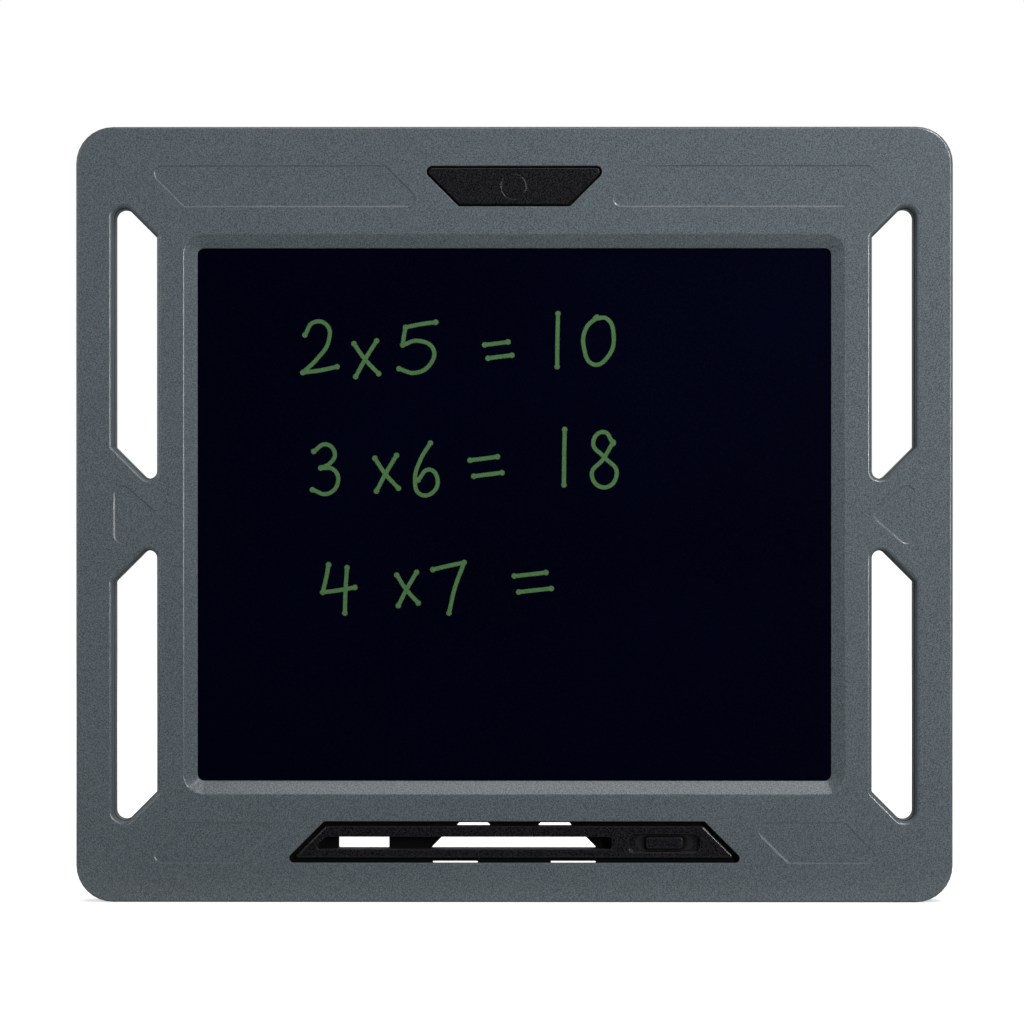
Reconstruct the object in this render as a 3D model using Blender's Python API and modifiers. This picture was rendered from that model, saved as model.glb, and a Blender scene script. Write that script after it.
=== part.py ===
"""LCD writing tablet in its case, standing on its lower edge with its front towards -Y.

The case is a bezel frame and a rear cover, screwed together from behind, with four hand slots.
Between them lie the writing panel, the erase key with its switch and circuit board, a coin cell
behind a screwed door, and the dock that a stylus clips to.
"""
import math

import bmesh
import bpy
from mathutils import Matrix, Vector

MM = 0.001

# Writing window: the opening at the foot of its bevel
WINDOW_WIDTH = 257.0 * MM
WINDOW_HEIGHT = 216.0 * MM
WINDOW_RADIUS = 2.6 * MM
BEVEL_WIDTH = 5.2 * MM
BEVEL_DEPTH = 2.6 * MM
LIP = 1.0 * MM

# Hand slots: upright parallelograms with slanted ends, two on each side
END_SLANT = math.radians(45.0)
INNER_BAR = 11.1 * MM
GRIP_WIDTH = 17.8 * MM
GRIP_BAR = 14.9 * MM
GRIP_TOP_DROP = 0.6 * MM
GRIP_WEB = 9.3 * MM
GRIP_TIP_RADIUS = 4.2 * MM
GRIP_WEB_RADIUS = 3.5 * MM
GRIP_BEND_RADIUS = 1.2 * MM
GRIP_RIM = 1.8 * MM
GRIP_REAR_RIM = 1.4 * MM
GRIP_STEP = 0.35 * MM
COLLAR = 1.8 * MM

# Strips above and below the window, which hold the key, the dock and the sunk panels
STRIP_HEIGHT = 16.4 * MM
STRIP_MARGIN = 15.9 * MM
STRIP_TO_BEVEL = 11.5 * MM
PANEL_DEPTH = 0.35 * MM
PANEL_TIP_RADIUS = 3.2 * MM
PANEL_BEND_RADIUS = 0.8 * MM
KEY_TO_PANEL = 13.2 * MM
DOCK_TO_PANEL = 17.0 * MM
TRIANGLE_WIDTH = 18.0 * MM
TRIANGLE_SLANT = math.radians(40.9)
TRIANGLE_INSET = 0.6 * MM
TRIANGLE_RADIUS = 3.3 * MM

# Case walls
FRAME_DEPTH = 5.0 * MM
SKIN = 2.2 * MM
REAR_SKIN = 2.0 * MM
SIDE_WALL = 2.0 * MM
CORNER_RADIUS = 15.0 * MM
FRONT_ROUND = 1.2 * MM
REAR_ROUND = 1.8 * MM
TONGUE = 1.1 * MM
TONGUE_WALL = 1.2 * MM
RIB = 1.4 * MM
RIB_PITCH_X = 64.0 * MM
RIB_PITCH_UP = 54.0 * MM
RIB_MARGIN = 6.0 * MM

# Clearances: between stacked flat pieces, between the case halves, and round a loose fit
SEAT_GAP = 0.1 * MM
SEAM = 0.1 * MM
FIT = 0.2 * MM

# Writing panel stack
PANEL_BORDER = 6.0 * MM
PANEL_FIT = 1.0 * MM
LANDING_RIB = 1.5 * MM
TAPE_WIDTH = 4.0 * MM
TAPE_THICKNESS = 0.2 * MM
PANEL_THICKNESS = 0.8 * MM
PLATE_THICKNESS = 1.6 * MM

# Erase key and its switch
KEY_LENGTH = 45.0 * MM
KEY_TIP_RADIUS = 2.4 * MM
KEY_BEND_RADIUS = 0.8 * MM
KEY_GAP = 0.8 * MM
KEY_RECESS = 0.15 * MM
KEY_ROUND = 0.5 * MM
KEY_FACE = 1.5 * MM
KEY_WALL = 1.2 * MM
KEY_FLANGE = 1.2 * MM
KEY_FLANGE_THICKNESS = 0.9 * MM
KEY_POST = 1.75 * MM
KEY_POST_RADIUS = 2.5 * MM
RING_RADIUS = 5.0 * MM
RING_GROOVE = 0.5 * MM
SWITCH_SIZE = 6.2 * MM
SWITCH_BODY = 1.9 * MM
STEM_OUT = 1.0 * MM
STEM_RADIUS = 1.7 * MM
STEM_IN = 0.7 * MM
STEM_BORE = 1.5 * MM

# Circuit board and what is soldered to it
BOARD_HEIGHT = 27.0 * MM
BOARD_MARGIN = 6.0 * MM
BOARD_THICKNESS = 1.0 * MM
BOARD_RADIUS = 2.0 * MM
BOARD_SCREW_LEFT_GAP = 13.0 * MM
BOARD_SCREW_RIGHT_GAP = 11.5 * MM
BOARD_SCREW_DROP = 6.0 * MM
CHIP_LENGTH = 5.0 * MM
CHIP_HEIGHT = 4.0 * MM
CHIP_DEPTH = 1.5 * MM
CHIP_TO_SCREW = 13.7 * MM
CHIP_RISE = 5.0 * MM
CAPACITOR_LENGTH = 3.2 * MM
CAPACITOR_HEIGHT = 1.6 * MM
CAPACITOR_DEPTH = 1.4 * MM
CAPACITOR_TO_SCREW = 25.7 * MM
CAPACITOR_PITCH = 7.0 * MM
CAPACITOR_RISE = -6.0 * MM
INDUCTOR_RADIUS = 2.6 * MM
INDUCTOR_HEIGHT = 2.1 * MM
INDUCTOR_TO_SCREW = 26.7 * MM
INDUCTOR_RISE = 4.0 * MM
CONNECTOR_LENGTH = 12.0 * MM
CONNECTOR_HEIGHT = 4.5 * MM
CONNECTOR_DEPTH = 1.6 * MM
CONNECTOR_INSET = 0.6 * MM
TAIL_TO_SCREW = 11.7 * MM
TAIL_WIDTH = 9.0 * MM
TAIL_THICKNESS = 0.2 * MM
TAIL_GRIP = 2.0 * MM

# Coin cell, its contacts and its door
CELL_TO_SCREW = 23.0 * MM
CELL_RADIUS = 10.0 * MM
CELL_DEPTH = 3.2 * MM
CELL_CAP_RADIUS = 8.8 * MM
CELL_STEP = 0.6 * MM
CELL_GAP = 0.6 * MM
CONTACT = 0.2 * MM
CONTACT_WIDTH = 5.0 * MM
LEAF_LENGTH = 14.0 * MM
CLIP_ROOM = 4.5 * MM
CLIP_FOOT = 2.6 * MM
CLIP_FINGER = 2.4 * MM
BAY_RADIUS = 3.0 * MM
BAY_WALL = 1.6 * MM
BAY_CLEARANCE = 0.9 * MM
DOOR_THICKNESS = 1.9 * MM
DOOR_LEDGE = 1.6 * MM
DOOR_SCREW_LAND = 7.0 * MM
DOOR_RADIUS = 2.4 * MM
DOOR_GROOVE = 0.5 * MM
DOOR_GROOVE_LENGTH = 9.0 * MM
DOOR_GROOVE_PITCH = 2.4 * MM
DOOR_GROOVES = 3

# Stylus dock
DOCK_LENGTH = 155.0 * MM
DOCK_TIP_RADIUS = 2.6 * MM
DOCK_BEND_RADIUS = 0.8 * MM
DOCK_GAP = 1.8 * MM
DOCK_RECESS = 0.8 * MM
DOCK_ROUND = 0.5 * MM
DOCK_FLANGE = 3.8 * MM
DOCK_FLANGE_THICKNESS = 1.4 * MM
DOCK_WALL = 1.5 * MM
DOCK_REAR_GAP = 2.0 * MM
CHANNEL_WIDTH = 4.7 * MM
CHANNEL_DEPTH = 6.5 * MM
CHANNEL_INSET = 4.2 * MM
CHANNEL_RADIUS = 1.2 * MM
SHORT_WINDOW = 20.5 * MM
SHORT_WINDOW_INSET = 7.8 * MM
WINDOW_BRIDGE = 19.1 * MM
LONG_WINDOW_INSET = 8.2 * MM
WINDOW_LEDGE = 0.1 * MM
POCKET_LENGTH = 28.8 * MM
POCKET_HEIGHT = 7.4 * MM
POCKET_DEPTH = 2.4 * MM
POCKET_INSET = 7.9 * MM
POCKET_TO_CHANNEL = 7.0 * MM
POCKET_RADIUS = 2.4 * MM
CATCH_LENGTH = 15.4 * MM
CATCH_HEIGHT = 5.3 * MM
CATCH_SINK = 0.4 * MM
CATCH_DRAFT = 0.9 * MM
UPPER_NOTCH = 13.5 * MM
UPPER_NOTCH_X = 16.5 * MM
UPPER_NOTCH_LEDGE = 0.4 * MM
LOWER_NOTCH = 18.2 * MM
LOWER_NOTCH_X = 23.9 * MM
LOWER_NOTCH_LEDGE = 0.8 * MM
NOTCH_REACH = 0.8 * MM

# Screws and feet
SCREW_RADIUS = 1.2 * MM
SCREW_HEAD_RADIUS = 2.3 * MM
SCREW_HEAD = 1.6 * MM
SCREW_SEAT = 1.9 * MM
SCREW_SINK = 0.5 * MM
SCREW_BITE = 5.0 * MM
SCREW_CORNER_X = 13.5 * MM
SCREW_CORNER_UP = 11.5 * MM
SCREW_EDGE = 7.5 * MM
SCREW_STRIP_X = 108.0 * MM
SCREW_FIT = 0.2 * MM
BOSS_RADIUS = 3.2 * MM
BOARD_SCREW_RADIUS = 1.0 * MM
BOARD_SCREW_HEAD_RADIUS = 2.0 * MM
BOARD_SCREW_HEAD = 1.1 * MM
BOARD_SCREW_BITE = 2.2 * MM
BOARD_BOSS_RADIUS = 2.5 * MM
DOOR_SCREW_RADIUS = 0.9 * MM
DOOR_SCREW_HEAD_RADIUS = 1.7 * MM
DOOR_SCREW_HEAD = 0.9 * MM
DOOR_SCREW_BITE = 2.4 * MM
FOOT_RADIUS = 6.0 * MM
FOOT_PROUD = 1.0 * MM
FOOT_SUNK = 0.6 * MM
FOOT_INSET = 6.7 * MM
FOOT_DROP = 20.0 * MM
FOOT_ROUND = 0.4 * MM

# Facets
CORNER_STEPS = 4
EDGE_STEPS = 3
ROUND_SIDES = 20
SCREW_SIDES = 12
RING_SIDES = 32
RING_GROOVE_SIDES = 8
SMALLEST_ARC = 0.3 * MM
SHARP_ANGLE = math.radians(28.0)

# How far cutting shapes run past what they cut, and how close points are to be merged
OVER = 1.0 * MM
WELD = 0.001 * MM

# Overall sizes, summed from the pieces across and up the front
STRIP_RUN = STRIP_HEIGHT / math.tan(END_SLANT)
GRIP_RISE = GRIP_WIDTH * math.tan(END_SLANT)
BEVEL_X = WINDOW_WIDTH / 2 + BEVEL_WIDTH
GRIP_INNER = BEVEL_X + INNER_BAR
GRIP_OUTER = GRIP_INNER + GRIP_WIDTH
WIDTH = 2 * (GRIP_OUTER + GRIP_BAR)
HEIGHT = WINDOW_HEIGHT + 2 * (BEVEL_WIDTH + STRIP_TO_BEVEL + STRIP_HEIGHT + STRIP_MARGIN)
STRIP_UP = HEIGHT / 2 - STRIP_MARGIN - STRIP_HEIGHT / 2
STRIP_LOW = STRIP_UP - STRIP_HEIGHT / 2
STRIP_HIGH = STRIP_UP + STRIP_HEIGHT / 2
BOARD_SCREW_LEFT = -KEY_LENGTH / 2 - STRIP_RUN / 2 - BOARD_SCREW_LEFT_GAP
BOARD_SCREW_RIGHT = KEY_LENGTH / 2 + BOARD_SCREW_RIGHT_GAP
CELL_X = BOARD_SCREW_RIGHT + CELL_TO_SCREW
CHIP_X = BOARD_SCREW_LEFT + CHIP_TO_SCREW
CAPACITOR_X = BOARD_SCREW_LEFT + CAPACITOR_TO_SCREW
INDUCTOR_X = BOARD_SCREW_LEFT + INDUCTOR_TO_SCREW
TAIL_X = BOARD_SCREW_LEFT + TAIL_TO_SCREW

# Depths behind the front face, summed from the pieces that lie behind each other
LANDING = PANEL_BORDER + PANEL_FIT
LANDING_DEPTH = BEVEL_DEPTH + LIP
TAPE_FRONT = LANDING_DEPTH + SEAT_GAP
PANEL_FRONT = TAPE_FRONT + TAPE_THICKNESS + SEAT_GAP
PLATE_FRONT = PANEL_FRONT + PANEL_THICKNESS + SEAT_GAP
PLATE_REAR = PLATE_FRONT + PLATE_THICKNESS
FLANGE_FRONT = SKIN + SEAT_GAP
KEY_REAR = KEY_RECESS + KEY_FACE
STEM_FRONT = KEY_REAR + KEY_POST + SEAT_GAP
SWITCH_FRONT = STEM_FRONT + STEM_OUT
SWITCH_REAR = SWITCH_FRONT + SWITCH_BODY
BOARD_FRONT = SWITCH_REAR + SEAT_GAP
BOARD_REAR = BOARD_FRONT + BOARD_THICKNESS
LEAF_FRONT = BOARD_REAR + SEAT_GAP
CELL_FRONT = LEAF_FRONT + CONTACT + SEAT_GAP
CELL_REAR = CELL_FRONT + CELL_DEPTH
CLIP_REAR = CELL_REAR + SEAT_GAP + CONTACT
DOOR_FRONT = CLIP_REAR + SEAT_GAP
BODY_DEPTH = DOOR_FRONT + DOOR_THICKNESS
REAR_INSIDE = BODY_DEPTH - REAR_SKIN
DOCK_FLANGE_REAR = FLANGE_FRONT + DOCK_FLANGE_THICKNESS
CHANNEL_FLOOR = DOCK_RECESS + CHANNEL_DEPTH
SCREW_HEAD_FRONT = BODY_DEPTH - SCREW_SINK - SCREW_HEAD
BOSS_REAR = SCREW_HEAD_FRONT - SEAT_GAP - SCREW_SEAT - SEAT_GAP
SCREW_TIP = BOSS_REAR - SCREW_BITE
FRONT_Y = -(BODY_DEPTH + FOOT_PROUD) / 2
MIDDLE_Z = HEIGHT / 2


def spot(x, up, depth):
    """World point at a place across and above the middle, and a depth behind the front face."""
    return Vector((x, FRONT_Y + depth, MIDDLE_Z + up))


def linear(code):
    """Linear colour of an sRGB hex code."""
    values = [int(code[i:i + 2], 16) / 255 for i in (0, 2, 4)]
    return [v / 12.92 if v <= 0.04045 else ((v + 0.055) / 1.055) ** 2.4 for v in values] + [1.0]


def material(name, code, roughness, metallic=0.0):
    """A plain shaded material, made once and shared."""
    found = bpy.data.materials.get(name)
    if found:
        return found
    made = bpy.data.materials.new(name)
    made.use_nodes = True
    shader = made.node_tree.nodes["Principled BSDF"]
    shader.inputs["Base Color"].default_value = linear(code)
    shader.inputs["Roughness"].default_value = roughness
    shader.inputs["Metallic"].default_value = metallic
    made.diffuse_color = linear(code)
    return made


def case_plastic():
    return material("grey_moulded_abs", "565f64", 0.55)


def black_plastic():
    return material("black_moulded_abs", "1b1b1d", 0.5)


def panel_film():
    return material("writing_film", "03040f", 0.15)


def tape_film():
    return material("adhesive_tape", "e8e6dc", 0.6)


def plate_plastic():
    return material("white_polystyrene", "dadad4", 0.6)


def board_laminate():
    return material("green_board_laminate", "1f5a36", 0.45)


def chip_epoxy():
    return material("black_epoxy", "141416", 0.5)


def nylon():
    return material("ivory_nylon", "d8d2c0", 0.5)


def ceramic():
    return material("tan_ceramic", "8a6a4a", 0.4)


def ferrite():
    return material("dark_ferrite", "2c2c2e", 0.6)


def polyimide():
    return material("amber_polyimide", "9a5a18", 0.35)


def steel():
    return material("plated_steel", "b8bcc0", 0.3, 1.0)


def spring_metal():
    return material("nickelled_spring_metal", "c8c4b4", 0.25, 1.0)


def rubber():
    return material("black_rubber", "161617", 0.85)


def rectangle(width, height, radius, x=0.0, up=0.0):
    """Corners of an upright rectangle, anticlockwise from the lower left, each with its radius."""
    left, right = x - width / 2, x + width / 2
    low, high = up - height / 2, up + height / 2
    return [(left, low, radius), (right, low, radius), (right, high, radius), (left, high, radius)]


def mirrored(corners, side, above):
    """Corners flipped left to right or top to bottom, still anticlockwise."""
    flipped = [(side * x, above * up, radius) for x, up, radius in corners]
    return flipped if side * above > 0 else flipped[::-1]


def rounded(corners, grow=0.0):
    """Points of a convex outline with an arc at each corner, grown outwards evenly."""
    points = []
    for index, (x, up, radius) in enumerate(corners):
        here = Vector((x, up))
        into = (here - Vector(corners[index - 1][:2])).normalized()
        away = (Vector(corners[(index + 1) % len(corners)][:2]) - here).normalized()
        first, last = Vector((into.y, -into.x)), Vector((away.y, -away.x))
        spread = (first + last) / (1 + first.dot(last))
        arc = max(radius + grow, SMALLEST_ARC)
        centre = here + spread * (grow - arc)
        turn = math.acos(max(-1.0, min(1.0, first.dot(last))))
        for step in range(CORNER_STEPS + 1):
            points.append(centre + Matrix.Rotation(turn * step / CORNER_STEPS, 2) @ first * arc)
    return points


def quarter_round(radius):
    """Pairs (in from the side, back from the face) along a rounded edge, from face to side."""
    angles = [math.pi / 2 * step / EDGE_STEPS for step in range(EDGE_STEPS + 1)]
    return [(radius * (1 - math.sin(angle)), radius * (1 - math.cos(angle))) for angle in angles]


def add_loft(bm, corners, sections):
    """A closed solid through copies of an outline, each grown by an amount at a depth."""
    grow, depth = sections[0]
    face = bm.faces.new([bm.verts.new(spot(x, up, depth)) for x, up in rounded(corners, grow)])
    for number, (grow, depth) in enumerate(sections[1:]):
        extruded = bmesh.ops.extrude_face_region(bm, geom=[face])["geom"]
        if number:
            bmesh.ops.delete(bm, geom=[face], context="FACES_ONLY")
        face = next(item for item in extruded if isinstance(item, bmesh.types.BMFace))
        for vert, (x, up) in zip(face.verts, rounded(corners, grow)):
            vert.co = spot(x, up, depth)
    bmesh.ops.recalc_face_normals(bm, faces=bm.faces)


def add_cylinder(bm, x, up, radius, front, rear, sides=ROUND_SIDES):
    """A round post or hole along the depth."""
    middle = Matrix.Translation(spot(x, up, (front + rear) / 2))
    upright = middle @ Matrix.Rotation(math.pi / 2, 4, "X")
    bmesh.ops.create_cone(bm, cap_ends=True, segments=sides, radius1=radius, radius2=radius,
                          depth=rear - front, matrix=upright)


def add_box(bm, x, up, front, size):
    """A box centred at a place, with its size across, up and back from its front."""
    width, height, depth = size
    scale = Matrix.Diagonal((width, depth, height, 1.0))
    middle = Matrix.Translation(spot(x, up, front + depth / 2))
    bmesh.ops.create_cube(bm, size=1.0, matrix=middle @ scale)


def finish_mesh(bm, name, origin):
    """A mesh object from world-placed geometry, with its origin at the given point."""
    bmesh.ops.translate(bm, verts=bm.verts, vec=-origin)
    mesh = bpy.data.meshes.new(name)
    bm.to_mesh(mesh)
    bm.free()
    made = bpy.data.objects.new(name, mesh)
    made.location = origin
    return made


def keep(made, finish):
    """A piece of the tablet, in its collection, under its root, with its finish."""
    made.data.materials.append(finish)
    made.parent = bpy.data.objects["tablet_origin"]
    bpy.data.collections["lcd_writing_tablet"].objects.link(made)
    made.data.shade_smooth()
    made.data.set_sharp_from_angle(angle=SHARP_ANGLE)
    return made


def piece(bm, name, finish, origin):
    return keep(finish_mesh(bm, name, origin), finish)


def tool(bm, name):
    """A shape that only cuts or joins other pieces."""
    made = finish_mesh(bm, name, Vector((0.0, 0.0, 0.0)))
    made.hide_render = True
    made.display_type = "WIRE"
    bpy.data.collections["tablet_cutters"].objects.link(made)
    return made


def combine(target, shape, operation):
    change = target.modifiers.new(shape.name, "BOOLEAN")
    change.operation = operation
    change.solver = "EXACT"
    change.object = shape


def cut(target, shape):
    combine(target, shape, "DIFFERENCE")


def join(target, shape):
    combine(target, shape, "UNION")


def loft_tool(name, corners, sections):
    bm = bmesh.new()
    add_loft(bm, corners, sections)
    return tool(bm, name)


def loft_set_tool(name, outlines, sections):
    """One tool of several separate lofts that share their sections."""
    bm = bmesh.new()
    for corners in outlines:
        add_loft(bm, corners, sections)
    return tool(bm, name)


def post_set_tool(name, places, radius, front, rear, sides=ROUND_SIDES):
    """One tool of equal round posts or holes."""
    bm = bmesh.new()
    for x, up in places:
        add_cylinder(bm, x, up, radius, front, rear, sides)
    return tool(bm, name)


def flat_piece(name, outlines, front, rear, finish):
    """A flat piece from a filled curve: an outer outline, then the outlines of its holes."""
    curve = bpy.data.curves.new(name, "CURVE")
    curve.dimensions = "2D"
    curve.fill_mode = "BOTH"
    curve.extrude = (rear - front) / 2
    for points in outlines:
        spline = curve.splines.new("POLY")
        spline.points.add(len(points) - 1)
        spline.use_cyclic_u = True
        for point, (x, up) in zip(spline.points, points):
            point.co = (x, up, 0.0, 1.0)
    drawn = bpy.data.objects.new(name + "_outline", curve)
    bpy.context.scene.collection.objects.link(drawn)
    graph = bpy.context.evaluated_depsgraph_get()
    mesh = bpy.data.meshes.new_from_object(drawn.evaluated_get(graph))
    bpy.data.objects.remove(drawn)
    bm = bmesh.new()
    bm.from_mesh(mesh)
    bmesh.ops.remove_doubles(bm, verts=bm.verts, dist=WELD)
    bmesh.ops.recalc_face_normals(bm, faces=bm.faces)
    bm.to_mesh(mesh)
    bm.free()
    mesh.name = name
    made = bpy.data.objects.new(name, mesh)
    made.location = spot(0.0, 0.0, (front + rear) / 2)
    made.rotation_euler = (math.pi / 2, 0.0, 0.0)
    return keep(made, finish)


def turned_piece(name, x, up, front, profile, finish, sides=ROUND_SIDES):
    """A turned piece along the depth, from (radius, depth behind its front) pairs."""
    bm = bmesh.new()
    verts = [bm.verts.new((radius, 0.0, -depth)) for radius, depth in profile]
    for start, end in zip(verts, verts[1:]):
        bm.edges.new((start, end))
    mesh = bpy.data.meshes.new(name)
    bm.to_mesh(mesh)
    bm.free()
    made = bpy.data.objects.new(name, mesh)
    made.location = spot(x, up, front)
    made.rotation_euler = (math.pi / 2, 0.0, 0.0)
    turning = made.modifiers.new("turning", "SCREW")
    turning.axis = "Z"
    turning.steps = sides
    turning.render_steps = sides
    turning.use_merge_vertices = True
    turning.merge_threshold = WELD
    return keep(made, finish)


def bent_strip(name, path, sweep, thickness, finish):
    """A bent strip: an open path swept sideways into a sheet, thickened evenly about it."""
    bm = bmesh.new()
    verts = [bm.verts.new(point - sweep / 2) for point in path]
    edges = [bm.edges.new(pair) for pair in zip(verts, verts[1:])]
    swept = bmesh.ops.extrude_edge_only(bm, edges=edges)["geom"]
    moved = [item for item in swept if isinstance(item, bmesh.types.BMVert)]
    bmesh.ops.translate(bm, verts=moved, vec=sweep)
    made = piece(bm, name, finish, path[0].copy())
    thick = made.modifiers.new("thickness", "SOLIDIFY")
    thick.thickness = thickness
    thick.offset = 0.0
    thick.use_even_offset = True
    return made


def case_outline():
    return rectangle(WIDTH, HEIGHT, CORNER_RADIUS)


def window_outline():
    return rectangle(WINDOW_WIDTH, WINDOW_HEIGHT, WINDOW_RADIUS)


def grip_outlines():
    """The four hand slots, from the upper right one."""
    top = WINDOW_HEIGHT / 2 + BEVEL_WIDTH - GRIP_TOP_DROP
    slot = [(GRIP_INNER, GRIP_WEB, GRIP_WEB_RADIUS),
            (GRIP_OUTER, GRIP_WEB + GRIP_RISE, GRIP_BEND_RADIUS),
            (GRIP_OUTER, top + GRIP_RISE, GRIP_TIP_RADIUS),
            (GRIP_INNER, top, GRIP_BEND_RADIUS)]
    return [mirrored(slot, side, above) for side in (1, -1) for above in (1, -1)]


def key_outline():
    half = KEY_LENGTH / 2
    return [(-half, STRIP_LOW, KEY_BEND_RADIUS), (half, STRIP_LOW, KEY_BEND_RADIUS),
            (half + STRIP_RUN, STRIP_HIGH, KEY_TIP_RADIUS),
            (-half - STRIP_RUN, STRIP_HIGH, KEY_TIP_RADIUS)]


def dock_outline():
    half = DOCK_LENGTH / 2
    return [(-half - STRIP_RUN, -STRIP_HIGH, DOCK_TIP_RADIUS),
            (half + STRIP_RUN, -STRIP_HIGH, DOCK_TIP_RADIUS),
            (half, -STRIP_LOW, DOCK_BEND_RADIUS), (-half, -STRIP_LOW, DOCK_BEND_RADIUS)]


def sunk_panel_outlines():
    """The shallow panels beside the key and the dock, and the triangles between the hand slots."""
    outer = BEVEL_X
    upper = KEY_LENGTH / 2 + KEY_TO_PANEL
    lower = DOCK_LENGTH / 2 + DOCK_TO_PANEL
    side = GRIP_OUTER - TRIANGLE_INSET
    half = TRIANGLE_WIDTH * math.tan(TRIANGLE_SLANT)
    tip, bend = PANEL_TIP_RADIUS, PANEL_BEND_RADIUS
    above = [(upper, STRIP_LOW, tip), (outer, STRIP_LOW, bend),
             (outer + STRIP_RUN, STRIP_HIGH, tip), (upper + STRIP_RUN, STRIP_HIGH, bend)]
    below = [(lower + STRIP_RUN, -STRIP_HIGH, bend), (outer + STRIP_RUN, -STRIP_HIGH, tip),
             (outer, -STRIP_LOW, bend), (lower, -STRIP_LOW, tip)]
    web = [(side - TRIANGLE_WIDTH, 0.0, TRIANGLE_RADIUS), (side, -half, TRIANGLE_RADIUS),
           (side, half, TRIANGLE_RADIUS)]
    return [mirrored(corners, flip, 1) for corners in (above, below, web) for flip in (1, -1)]


def case_screw_places():
    """Four corners, two webs between the hand slots, and two on each strip's outer edge."""
    corner = (WIDTH / 2 - SCREW_CORNER_X, HEIGHT / 2 - SCREW_CORNER_UP)
    strip = (SCREW_STRIP_X, HEIGHT / 2 - SCREW_EDGE)
    web = ((GRIP_INNER + GRIP_OUTER) / 2, 0.0)
    places = [(side * x, above * up)
              for x, up in (corner, strip) for side in (1, -1) for above in (1, -1)]
    return places + [(web[0], web[1]), (-web[0], web[1])]


def board_screw_places():
    return [(BOARD_SCREW_LEFT, STRIP_UP), (BOARD_SCREW_RIGHT, STRIP_UP - BOARD_SCREW_DROP)]


def foot_places():
    x, up = BEVEL_X - FOOT_INSET, HEIGHT / 2 - FOOT_DROP
    return [(side * x, above * up) for side in (1, -1) for above in (1, -1)]


def bay_outline():
    """The hole for the coin cell, with room on its right for the clip."""
    left = CELL_X - CELL_RADIUS - CELL_GAP
    right = CELL_X + CELL_RADIUS + CLIP_ROOM
    height = 2 * (CELL_RADIUS + CELL_GAP)
    return rectangle(right - left, height, BAY_RADIUS, (left + right) / 2, STRIP_UP)


def door_outline():
    left = CELL_X - CELL_RADIUS - CELL_GAP - DOOR_LEDGE
    right = CELL_X + CELL_RADIUS + CLIP_ROOM + DOOR_SCREW_LAND
    height = 2 * (CELL_RADIUS + CELL_GAP + DOOR_LEDGE)
    return rectangle(right - left, height, DOOR_RADIUS, (left + right) / 2, STRIP_UP)


def door_screw_x():
    return CELL_X + CELL_RADIUS + CLIP_ROOM + DOOR_SCREW_LAND / 2


def front_frame():
    """The bezel frame: a dished window, slots with rounded rims, sunk panels, and bosses behind."""
    bm = bmesh.new()
    front = [(-inward, back) for inward, back in quarter_round(FRONT_ROUND)]
    add_loft(bm, case_outline(), front + [(0.0, FRAME_DEPTH)])
    frame = piece(bm, "front_frame", case_plastic(), spot(0.0, 0.0, 0.0))
    behind = FRAME_DEPTH + OVER
    through = [(0.0, -OVER), (0.0, behind)]
    cut(frame, loft_set_tool("frame_openings", [key_outline(), dock_outline()], through))
    rim = [(GRIP_RIM, -OVER)] + quarter_round(GRIP_RIM) + [(0.0, behind)]
    cut(frame, loft_set_tool("frame_slots", grip_outlines(), rim))
    sunk = [(2 * PANEL_DEPTH, -PANEL_DEPTH), (0.0, PANEL_DEPTH)]
    cut(frame, loft_set_tool("frame_sunk_panels", sunk_panel_outlines(), sunk))
    dish = [(2 * BEVEL_WIDTH, -BEVEL_DEPTH), (0.0, BEVEL_DEPTH), (0.0, behind)]
    cut(frame, loft_tool("frame_window", window_outline(), dish))
    cut(frame, loft_tool("frame_landing", window_outline(),
                         [(LANDING, LANDING_DEPTH), (LANDING, behind)]))
    cavity = loft_tool("frame_cavity", case_outline(), [(-SIDE_WALL, SKIN), (-SIDE_WALL, behind)])
    kept = [(COLLAR, SKIN - OVER), (COLLAR, behind + OVER)]
    cut(cavity, loft_set_tool("frame_collars", grip_outlines(), kept))
    surround = LANDING + LANDING_RIB
    kept = [(surround, SKIN - OVER), (surround, behind + OVER)]
    cut(cavity, loft_tool("frame_window_surround", window_outline(), kept))
    cut(frame, cavity)
    bm = bmesh.new()
    start = WINDOW_HEIGHT / 2 + LANDING - OVER
    height = LANDING_RIB + 2 * OVER
    add_box(bm, TAIL_X, start + height / 2, LANDING_DEPTH + FIT,
            (TAIL_WIDTH + 2 * OVER, height, behind - LANDING_DEPTH))
    cut(frame, tool(bm, "frame_tail_notch"))
    join(frame, frame_bosses())


def frame_bosses():
    """Bosses behind the frame for the case screws and the board screws, with their blind holes."""
    bm = bmesh.new()
    for x, up in case_screw_places():
        add_cylinder(bm, x, up, BOSS_RADIUS, SKIN / 2, BOSS_REAR)
    for x, up in board_screw_places():
        add_cylinder(bm, x, up, BOARD_BOSS_RADIUS, SKIN / 2, BOARD_FRONT - SEAT_GAP)
    bosses = tool(bm, "frame_bosses")
    bm = bmesh.new()
    for x, up in case_screw_places():
        add_cylinder(bm, x, up, SCREW_RADIUS + SCREW_FIT, SCREW_TIP - SCREW_FIT, BOSS_REAR + OVER,
                     SCREW_SIDES)
    for x, up in board_screw_places():
        add_cylinder(bm, x, up, BOARD_SCREW_RADIUS + SCREW_FIT, BOARD_FRONT - BOARD_SCREW_BITE - SCREW_FIT,
                     BOARD_FRONT + OVER, SCREW_SIDES)
    cut(bosses, tool(bm, "frame_boss_holes"))
    return bosses


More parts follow.
